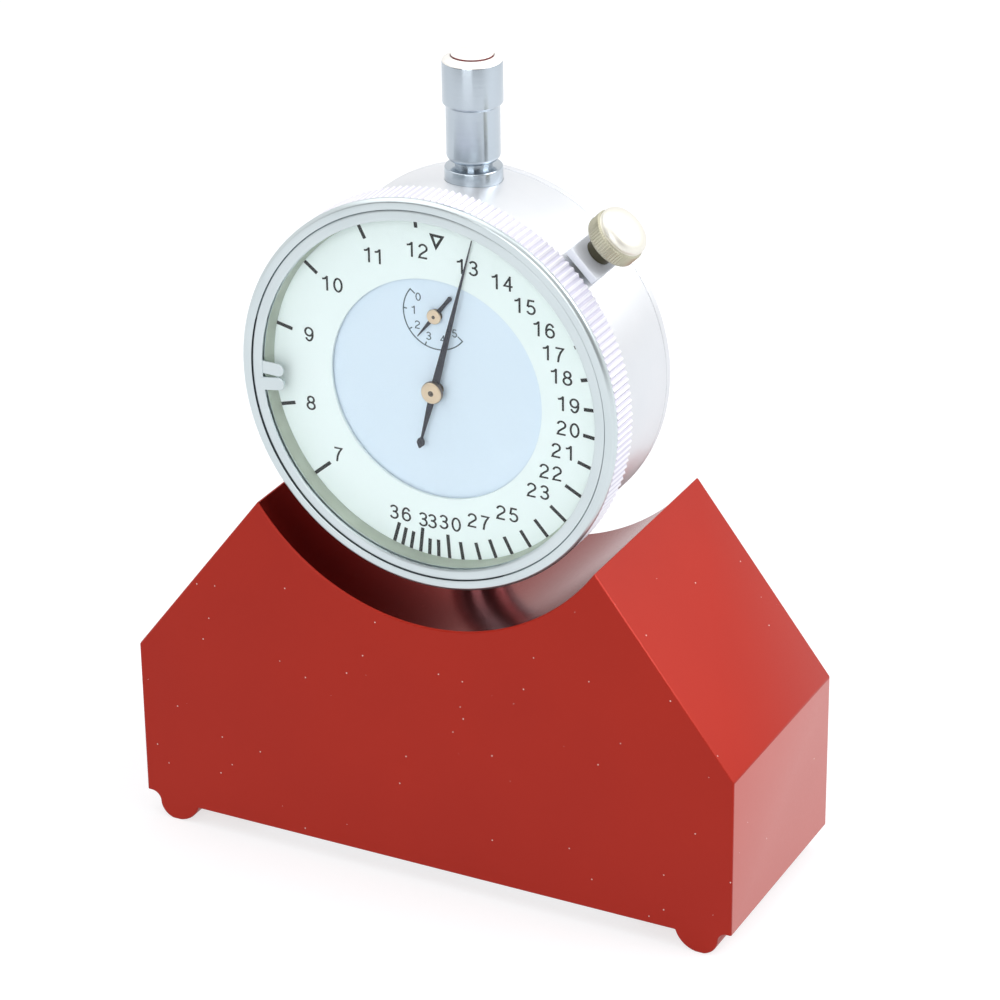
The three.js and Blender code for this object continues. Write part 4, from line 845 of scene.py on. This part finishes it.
def buildBezel(sizes):
    crest, land, front, back = sizes['crest'], sizes['land'], sizes['flutesFront'], sizes['flutesBack']
    piece = turn('fluted_bezel', 'Y', [
        (27.4, -15.8, 0.08), (28.5, -15.8, 0.15), (crest, -15.35, 0.12), (crest, -14.95, 0.05), (land, front),
        (crest, front + 0.15), (crest, back - 0.15), (land, back), (land, -9.7, 0.1), (26.7, -9.7, 0.1),
        (26.7, -12.4), (25.5, -12.4, 0.04), (25.76, -14.7, 0.03), (27.33, -14.7), (27.33, -15.25),
        (27.75, -15.25), (27.75, -15.67), (27.4, -15.67), (27.4, -15.8)],
        sizes['ridges'] * sizes['stepsToRidge'])
    pressGrooves(piece, 'Y', sizes, lambda place: place.xz.length > crest - 0.01 and place.y > front + 0.1)
    return settle(piece, dialCentre)


bezel = buildBezel(bezelSizes)
finish(bezel, bezelChrome, 'bezel_and_dial', 'satin_case', 'bezel', smooth=40)
bezelZones = [
    # finish, least and greatest radius, front and back
    # the wall round the dial: painted shade
    (wallShadeGrey, 25, 25.75, -14.68, -12.41),
    (fluteChrome, 28.5, 29, bezelSizes['flutesFront'], bezelSizes['flutesBack']),
    # the flutes' valleys: painted shade
    (fluteShade, 28.5, 28.72, -14.6, -10.2),
]
for zoneFinish, inner, outer, front, back in bezelZones:
    dress(bezel, zoneFinish, lambda face: inner < radiusOf(face) < outer and front < depthOf(face) < back)
# painted shade in the seam on the lip's inner wall, at its lower left
dress(bezel, seamShade, lambda face: lowSeam['inner'] < radiusOf(face) < lowSeam['outer']
      and depthOf(face) < lowSeam['back'] and inLowSeam(face))

dial = turn('numbered_dial', 'Y', [
    (16.35, -12.35, 0.04), (26.54, -12.35), (26.54, -11.9), (16.35, -11.9), (16.35, -12.35)])
finish(settle(dial, dialCentre), dialLacquer, 'bezel_and_dial', 'dial_white', 'outer_dial')

centreDial = turn('centre_dial', 'Y', [(0.9, -11.6), (18, -11.6), (18, -11.1), (0.9, -11.1), (0.9, -11.6)])
carve(centreDial, rod('Y', 0.9, -12, -10, 0, counterRise, 48))
carve(centreDial, *[rod('Y', 0.7, -11.35, -9.8, x, -6, 32) for x in (-12, 12)], operation='UNION')  # its feet
finish(settle(centreDial, dialCentre), innerLacquer, 'stand', 'dial_blue', 'inner_dial')

glass = turn('dial_crystal', 'Y', [(0, -15.2), (27.3, -15.2, 0.06), (27.3, -14.725, 0.06), (0, -14.725)], 256)
finish(settle(glass, dialCentre), crystalClear, 'bezel_and_dial', 'crystal', 'crystal', smooth=5)

ringSizes = {
    'inner': 25.8, 'outer': 27.6, 'front': -15.635, 'back': -15.285, 'groove': 0.36, 'grooveDepth': 0.28,
    'ear': 1.95, 'reach': 22.4, 'gapAtRoot': 0.3, 'gapAtTip': 0.05, 'earStep': 0.16, 'turned': -183,
}


def ringEar(sizes, side, front):
    # side is 1 or -1; the ears lean together towards their tips
    root, tip, wide = sizes['gapAtRoot'], sizes['gapAtTip'], sizes['ear'] / 2
    end = arc(sizes['reach'] + wide, side * (tip + wide), wide, side * 0.5 * pi, side * pi * 1.5, 16)
    foot = sizes['inner'] + 0.4
    outline = [(foot, side * (root + 2 * wide))] + end + [(foot, side * root)]
    return plate('ringEar', outline, sizes['back'], front, 0.05)


def buildSnapRing(sizes):
    # a flat ring whose lower ear carries on into it, while the other end laps under it
    inner, outer, front, back = sizes['inner'], sizes['outer'], sizes['front'], sizes['back']
    seam = outer - sizes['groove']
    piece = turn('spring_ring', 'Y', [
        (inner, back, 0.03), (inner, front + 0.1), (inner + 0.3, front, 0.1), (seam - 0.2, front, 0.1),
        (seam, front + 0.05), (outer - 0.13, front + sizes['grooveDepth']), (outer, back - 0.05),
        (outer, back), (inner, back)], 256)
    carve(piece, ringEar(sizes, 1, front), ringEar(sizes, -1, front + sizes['earStep']), operation='UNION')
    return settle(piece, dialCentre, (0, radians(sizes['turned']), 0))


snapRing = buildSnapRing(ringSizes)
finish(snapRing, bezelChrome, 'bezel_and_dial', 'satin_case', 'snap_ring')
# painted shade in the seam at the ring's outer edge, at its lower left
dress(snapRing, seamShade, lambda face: radiusOf(face) > 27.25 and depthOf(face) > -15.58 and inLowSeam(face))
print('bezel ready')


# Print on the dials: numerals, graduation and the small scale

tensionMarks = [
    # tension, clockwise angle of its mark, place of its numeral and where the mark begins
    (7, 229.8, (-15.73, -12.88), 22.29), (8, 254.7, (-19.84, -5.72), 23.21),
    (9, 282.9, (-19.79, 4.78), 23.00), (10, 308.1, (-15.88, 13.01), 23.08),
    (11, 333.2, (-9.28, 18.39), 23.18), (12, 354.0, (-2.44, 20.34), 23.75), (13, 14.3, (5.20, 19.14), 24.20),
    (14, 28.3, (10.47, 17.85), 24.30), (15, 41.4, (13.87, 15.01), 24.30), (16, 53.2, (16.72, 12.10), 24.20),
    (17, 64.2, (18.10, 8.83), 23.70), (18, 75.7, (19.29, 5.62), 23.00), (19, 86.3, (20.32, 1.73), 22.79),
    (20, 96.0, (20.35, -1.92), 22.74), (21, 106.7, (19.52, -5.45), 22.75),
    (22, 117.7, (17.67, -8.94), 22.47), (23, 128.6, (15.71, -12.20), 22.51), (24, 137.7, None, 22.50),
    (25, 145.4, (10.92, -16.65), 22.81), (26, 152.9, None, 22.81), (27, 159.1, (6.42, -18.80), 22.71),
    (28, 165.0, None, 22.95), (29, 171.2, None, 22.86), (30, 176.0, (1.91, -20.00), 21.90),
    (31, 179.9, None, 22.95), (32, 183.2, None, 23.08), (33, 186.4, (-1.62, -20.27), 21.73),
    (34, 189.8, None, 22.81), (35, 192.9, None, 22.72), (36, 195.9, (-5.98, -20.04), 22.40),
]
printSizes = {
    'front': -12.375, 'thick': 0.03, 'tickWidth': 0.52, 'tickEnd': 25.7, 'height': 2.18, 'pitch': 1.97,
    'close': {33: 1.44, 11: 1.68},  # these two stand closer together
    'smallFront': -11.625, 'smallHeight': 1.2, 'pen': 0.06, 'wide': 1.16,
}


def oval(x, z, wide, high, start=0, end=345):
    # points on an ellipse, going round from one angle to the other
    steps = max(4, int(abs(end - start) / 15))
    angles = [radians(start + (end - start) * i / steps) for i in range(steps + 1)]
    return [(x + wide * cos(angle), z + high * sin(angle)) for angle in angles]


six = [
    (oval(0, -0.17, 0.232, 0.272), True),
    (oval(0, -0.02, 0.235, 0.462, 36, 185), False),
]
digitLines = {
    # the middle line of each pen stroke on a numeral one unit high, and whether it closes
    '0': [(oval(0, 0, 0.235, 0.442), True)],
    '1': [([(0.1, -0.5), (0.1, 0.5)], False), ([(-0.2, 0.27), (-0.04, 0.3), (0.09, 0.43)], False)],
    '2': [(oval(0, 0.205, 0.225, 0.237, 172, -38)
           + [(-0.01, -0.1), (-0.17, -0.25), (-0.235, -0.442), (0.24, -0.442)], False)],
    '3': [(oval(-0.005, 0.235, 0.2, 0.207, 160, -90) + [(-0.08, 0.028)], False),
          ([(-0.06, 0.032)] + oval(-0.005, -0.205, 0.23, 0.237, 90, -160), False)],
    '4': [([(0.1, -0.5), (0.1, 0.5)], False), ([(0.1, 0.43), (-0.235, -0.17), (0.26, -0.17)], False)],
    '5': [([(0.2, 0.442), (-0.14, 0.442), (-0.2, 0.02)], False),
          (oval(-0.005, -0.175, 0.23, 0.267, 138, -158), False)],
    '6': six,
    '7': [([(-0.23, 0.442), (0.232, 0.442), (0.07, 0.17), (-0.03, -0.12), (-0.08, -0.5)], False)],
    '8': [(oval(0, 0.235, 0.19, 0.207), True), (oval(0, -0.205, 0.232, 0.237), True)],
    '9': [([(-x, -z) for x, z in line], closed) for line, closed in six],
}


def penSides(line, closed, half):
    # the two sides of a stroke of even width, with mitred corners
    points = [Vector(point) for point in line]
    sides = ([], [])
    for i, point in enumerate(points):
        before = point - points[i - 1] if i or closed else points[1] - point
        after = points[(i + 1) % len(points)] - point if i < len(points) - 1 or closed else before
        before, after = before.normalized(), after.normalized()
        along = (before + after).normalized()
        across = Vector((-along.y, along.x)) * half / max(along.dot(before), 0.6)
        sides[0].append(tuple(point + across))
        sides[1].append(tuple(point - across))
    return sides


def buildStroke(line, closed):
    thick = printSizes['thick']
    left, right = penSides(line, closed, printSizes['pen'])
    if not closed:
        return plate('stroke', left + right[::-1], thick, 0)
    piece = plate('stroke', right, thick, 0)
    carve(piece, plate('strokeHole', left, thick + 1, -1))
    return piece


def buildDigit(lines):
    first, *others = [buildStroke(line, closed) for line, closed in lines]
    carve(first, *others, operation='UNION')
    return first


digitModels = {digit: buildDigit(lines) for digit, lines in digitLines.items()}


def number(mark, height, pitch, x, z, front):
    # copies of the numerals, side by side about one place
    digits = []
    left = x - (len(str(mark)) - 1) / 2 * pitch
    for i, digit in enumerate(str(mark)):
        twin = copyOf(digitModels[digit], 'digit')
        twin.scale = (height * printSizes['wide'], 1, height)
        place = Vector((left + i * pitch, front, z)) * mm
        digits.append(settle(twin, place))
    return digits


numerals = []
for mark, _, place, _ in tensionMarks:
    if place:
        pitch = printSizes['close'].get(mark, printSizes['pitch'])
        numerals += number(mark, printSizes['height'], pitch, *place, printSizes['front'])
finish(settle(joined('dial_numerals', numerals), dialCentre), dialInk, 'bezel_and_dial', None)

ticks = []
tickSide, tickFront = printSizes['tickWidth'] / 2, printSizes['front']
for _, angle, _, inner in tensionMarks:
    tick = block((-tickSide, tickFront, inner),
                 (tickSide, tickFront + printSizes['thick'], printSizes['tickEnd']))
    ticks.append(settle(tick, turned=(0, radians(angle), 0)))
finish(settle(joined('dial_ticks', ticks), dialCentre), dialInk, 'bezel_and_dial', None)

zeroMark = {'outside': [(-0.46, 23.18), (1.88, 23.04), (0.52, 20.8)],
            'inside': [(0.16, 22.77), (1.25, 22.7), (0.55, 21.65)]}


def buildZeroMark(sizes):
    # an open triangle that points at the middle of the dial
    front = printSizes['front']
    piece = plate('zero_mark', sizes['outside'], front + printSizes['thick'], front)
    carve(piece, plate('zeroHole', sizes['inside'], front + 1, front - 1))
    return settle(piece, dialCentre)


finish(buildZeroMark(zeroMark), dialInk, 'bezel_and_dial', None)

smallScale = {
    'radius': 5.1, 'angles': (308.8, 272.8, 236.8, 200.8, 164.8, 128.8),
    'line': 0.09, 'longTick': 0.9, 'shortTick': 0.55, 'numerals': 3.55,
}


def buildSmallScale(sizes):
    radius, half, angles = sizes['radius'], sizes['line'], sizes['angles']
    first, last = radians(90 - angles[0]), radians(90 - angles[-1])
    front = printSizes['smallFront']
    back = front + printSizes['thick']
    outside = arc(0, counterRise, radius + half, first, last, 96)
    inside = arc(0, counterRise, radius - half, last, first, 96)
    parts = [plate('scaleLine', outside + inside, back, front)]
    for i, angle in enumerate(angles):
        inward = sizes['longTick'] if i in (0, 5) else sizes['shortTick']
        mark = block((-half, front, radius - inward), (half, back, radius + half))
        turned = radians(angle)
        parts.append(settle(mark, Vector((0, 0, counterRise)) * mm, (0, turned, 0)))
        x, z = sizes['numerals'] * sin(turned), counterRise + sizes['numerals'] * cos(turned)
        parts += number(i, printSizes['smallHeight'], 0, x, z, front)
    return settle(joined('counter_scale', parts), dialCentre)


finish(buildSmallScale(smallScale), scaleInk, 'stand', None)
for model in digitModels.values():
    bpy.data.objects.remove(model)
print('print ready')


# Pointers

longPointer = {
    # half its outline, from the tail to the tip
    'half': [(-9.35, 0.08), (-8.6, 0.6), (-8.05, 0.54), (-7.6, 0.17), (-1.5, 0.5), (1.5, 0.56), (18, 0.15),
             (24.2, 0.06)],
    'tail': [], 'back': -12.75, 'front': -12.95, 'edge': 0.03, 'eye': 1.41, 'bore': 0.88, 'sides': 64,
    'turned': -75,
}
shortPointer = {
    # half its outline from the tip, and its round tail
    'half': [(4.4, 0.06), (0, 0.36), (-2.6, 0.26)], 'tail': arc(-3.75, 0, 0.35, 0.6 * pi, 1.4 * pi, 10),
    'back': -12.05, 'front': -12.2, 'edge': 0.02, 'eye': 0.91, 'bore': 0.73, 'sides': 48, 'turned': -231.5,
}


def buildPointer(name, sizes, centre):
    front, back = sizes['front'], sizes['back']
    outline = sizes['half'] + sizes['tail'] + [(x, -z) for x, z in reversed(sizes['half'])]
    piece = plate(name, outline, back, front, sizes['edge'])
    carve(piece, rod('Y', sizes['eye'], front, back, 0, 0, sizes['sides']), operation='UNION')
    carve(piece, rod('Y', sizes['bore'], front - 1, back + 1, 0, 0, sizes['sides']))
    return settle(piece, centre, (0, radians(sizes['turned']), 0))


finish(buildPointer('long_pointer', longPointer, dialCentre), bluedSteel, 'pointer_train', 'blued_steel',
       'main_pointer')
# each boss has a dimple over the end of its arbor, painted dark as shade in the hole
hub = turn('pointer_boss', 'Y', [
    (0, -13.72), (0.36, -13.72), (0.42, -13.75), (1.6, -13.75, 0.3), (1.6, -13, 0.05), (0.85, -13),
    (0.85, -12.1), (0.48, -12.1), (0.48, -13.705), (0, -13.705)], 96)
finish(settle(hub, dialCentre), brassHub, 'pointer_train', 'brass', 'pointer_hub')
dress(hub, dimpleShade, lambda face: radiusOf(face) < 0.43 and depthOf(face) < -13.715)
# the hub's side is painted dark as shade
dress(hub, hubSideShade, lambda face: radiusOf(face) > 1.55 and abs(face.normal.y) < 0.5)

finish(buildPointer('short_pointer', shortPointer, counterCentre), bluedSteel, 'counter_train', 'blued_steel',
       'counter_pointer')
smallHub = turn('counter_boss', 'Y', [
    (0, -12.5), (0.2, -12.5), (0.26, -12.53), (1.07, -12.53, 0.14), (1.07, -12.25, 0.03), (0.7, -12.25),
    (0.7, -11.95), (0.48, -11.95), (0.48, -12.49), (0, -12.49)], 64)
finish(settle(smallHub, counterCentre), counterBrass, 'counter_train', 'brass', 'counter_hub')
# the small boss's dimple is painted dark as shade
dress(smallHub, dimpleShade, lambda face: depthOf(face) < -12.495 and (
    fromDial(face) - Vector((0, 0, counterRise))).xz.length < 0.28)
print('pointers ready')


# Lock screw and clamp, drawn upright over the dial's middle and turned to the right shoulder

clampSizes = {'half': 2.79, 'front': -9.34, 'back': -2.1, 'foot': 26.96, 'footDeep': 1.5, 'low': 28.83,
              'high': 30.1, 'edge': 0.22, 'hole': (1.28, 27, 31)}


def buildClamp(sizes):
    # a flat catch with a foot at its back
    half, front, back, low = sizes['half'], sizes['front'], sizes['back'], sizes['low']
    piece = block((-half, front, low), (half, back, sizes['high']))
    piece.name = 'bezel_catch'
    foot = block((-half, back - sizes['footDeep'], sizes['foot']), (half, back, low + 0.2))
    carve(piece, foot, operation='UNION')
    soften(piece, sizes['edge'], 3)
    carve(piece, rod('Z', *sizes['hole'], 0, lockPlace, 48))
    return settle(piece, dialCentre, lockTurn)


finish(buildClamp(clampSizes), clampChrome, 'stand', 'satin_case', 'bezel_clamp')

knobSizes = {
    'ridges': 60, 'stepsToRidge': 4, 'crest': 4, 'middle': 3.94, 'valley': 3.88, 'rim': 3.9,
    'shank': 1.2, 'neck': 1.9, 'tip': 24.2, 'neckLow': 30.15, 'low': 32.05,
}


def buildKnob(sizes):
    shank, neck, crest = sizes['shank'], sizes['neck'], sizes['crest']
    neckLow, low = sizes['neckLow'], sizes['low']
    piece = turn('lock_knob', 'Z', [
        (0, sizes['tip']), (shank, sizes['tip'], 0.15), (shank, neckLow), (neck, neckLow), (neck, low, 0.1),
        (crest - 0.25, low + 0.5, 0.1), (crest, low + 0.75, 0.1), (crest, low + 2.7, 0.1),
        # the turned head over the knurl
        (3.75, low + 2.9, 0.05), (3.45, low + 3.08), (3.78, low + 3.3, 0.1), (3.7, low + 3.7),
        (3.42, low + 4.12), (2.85, low + 4.48), (2, low + 4.75), (1, low + 4.9), (0, low + 4.95)],
        sizes['ridges'] * sizes['stepsToRidge'])
    pressGrooves(piece, 'Z', sizes, lambda place: place.xy.length > sizes['rim'])
    settle(piece, (0, lockPlace * mm, 0))
    return settle(piece, dialCentre, lockTurn)


def alongLock(face):
    # how far a face's middle stands out along the lock screw
    middle = fromDial(face)
    return middle.x * sin(lockTurn[1]) + middle.z * cos(lockTurn[1])


knurlLow, knurlHigh = knobSizes['low'] + 0.35, knobSizes['low'] + 3
knob = buildKnob(knobSizes)
finish(knob, paleBrass, 'bezel_lock', 'nickelled_brass', 'lock_screw', smooth=40)
# the knurl gets its painted shade
dress(knob, knurlShadeBrass, lambda face: knurlLow < alongLock(face) < knurlHigh)
# the neck gets painted shade under the head
dress(knob, neckShadeBrass, lambda face: alongLock(face) < knurlLow)
print('lock ready')


# Coil springs, each wound from its foot to its head

coils = [
    # name, node, what its foot and its head are on, x, coil and wire radius, turns, foot and head
    ('left_coil', 'bar_spring_left', 'bar_and_spindle', 'stand', -14, 3.3, 0.45, 5, 11.072, 21.028),
    ('right_coil', 'bar_spring_right', 'bar_and_spindle', 'stand', 14, 3.3, 0.45, 5, 11.072, 21.028),
    ('pull_coil', 'spindle_return_spring', 'stand', 'bar_and_spindle', 3.35, 0.75, 0.2, 10, 60.3, 81.85),
]


def buildCoil(name, radius, wire, turns, rise):
    # the wire's round section, screwed up the axis and closed at both ends
    selectNothing()
    bpy.ops.mesh.primitive_circle_add(
        vertices=16, radius=wire * mm, location=(radius * mm, 0, 0), rotation=(pi / 2, 0, 0))
    putInMesh()
    piece = bpy.context.object
    piece.name = name
    winding = piece.modifiers.new('winding', 'SCREW')
    winding.steps = winding.render_steps = 36
    winding.iterations = turns
    winding.screw_offset = rise / turns * mm
    bpy.ops.object.modifier_apply(modifier=winding.name)
    startEdit(piece)
    pick('EDGE', lambda edge: len(edge.link_faces) == 1)
    bpy.ops.mesh.fill_holes(sides=0)
    mendMesh()
    endEdit()
    return piece


for name, node, footBody, headBody, x, radius, wire, turns, foot, head in coils:
    coil = buildCoil(name, radius, wire, turns, head - foot - 2 * wire)
    settle(coil, (x * mm, 0, (foot + wire) * mm))
    finish(coil, springWire, None, 'spring_steel', node, smooth=60)
    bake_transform(coil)
print('springs ready')


# The movement inside and the other frame parts keep their shapes and get their finishes

innerFinishes = [
    (groundSteel, ['anvil_button', 'bar_guide_pin_left', 'bar_guide_pin_right', 'rack_gear_arbor',
                   'centre_arbor', 'counter_arbor', 'spindle', 'contact_point', 'spindle_guide_pin']),
    (springWire, ['hairspring']),
    (screwSteel, ['bridge_screw_1', 'bridge_screw_2', 'plate_screw_1', 'plate_screw_2', 'plate_screw_3']),
    (platedBrass, ['stem_bush', 'front_plate', 'middle_plate', 'rear_bridge', 'pillar_1', 'pillar_2',
                   'pillar_3', 'spindle_guide_block', 'rack_gear_wheel', 'counter_wheel']),
]
for material, names in innerFinishes:
    for name in names:
        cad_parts[name].data.materials.clear()
        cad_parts[name].data.materials.append(material)
print('movement finished')
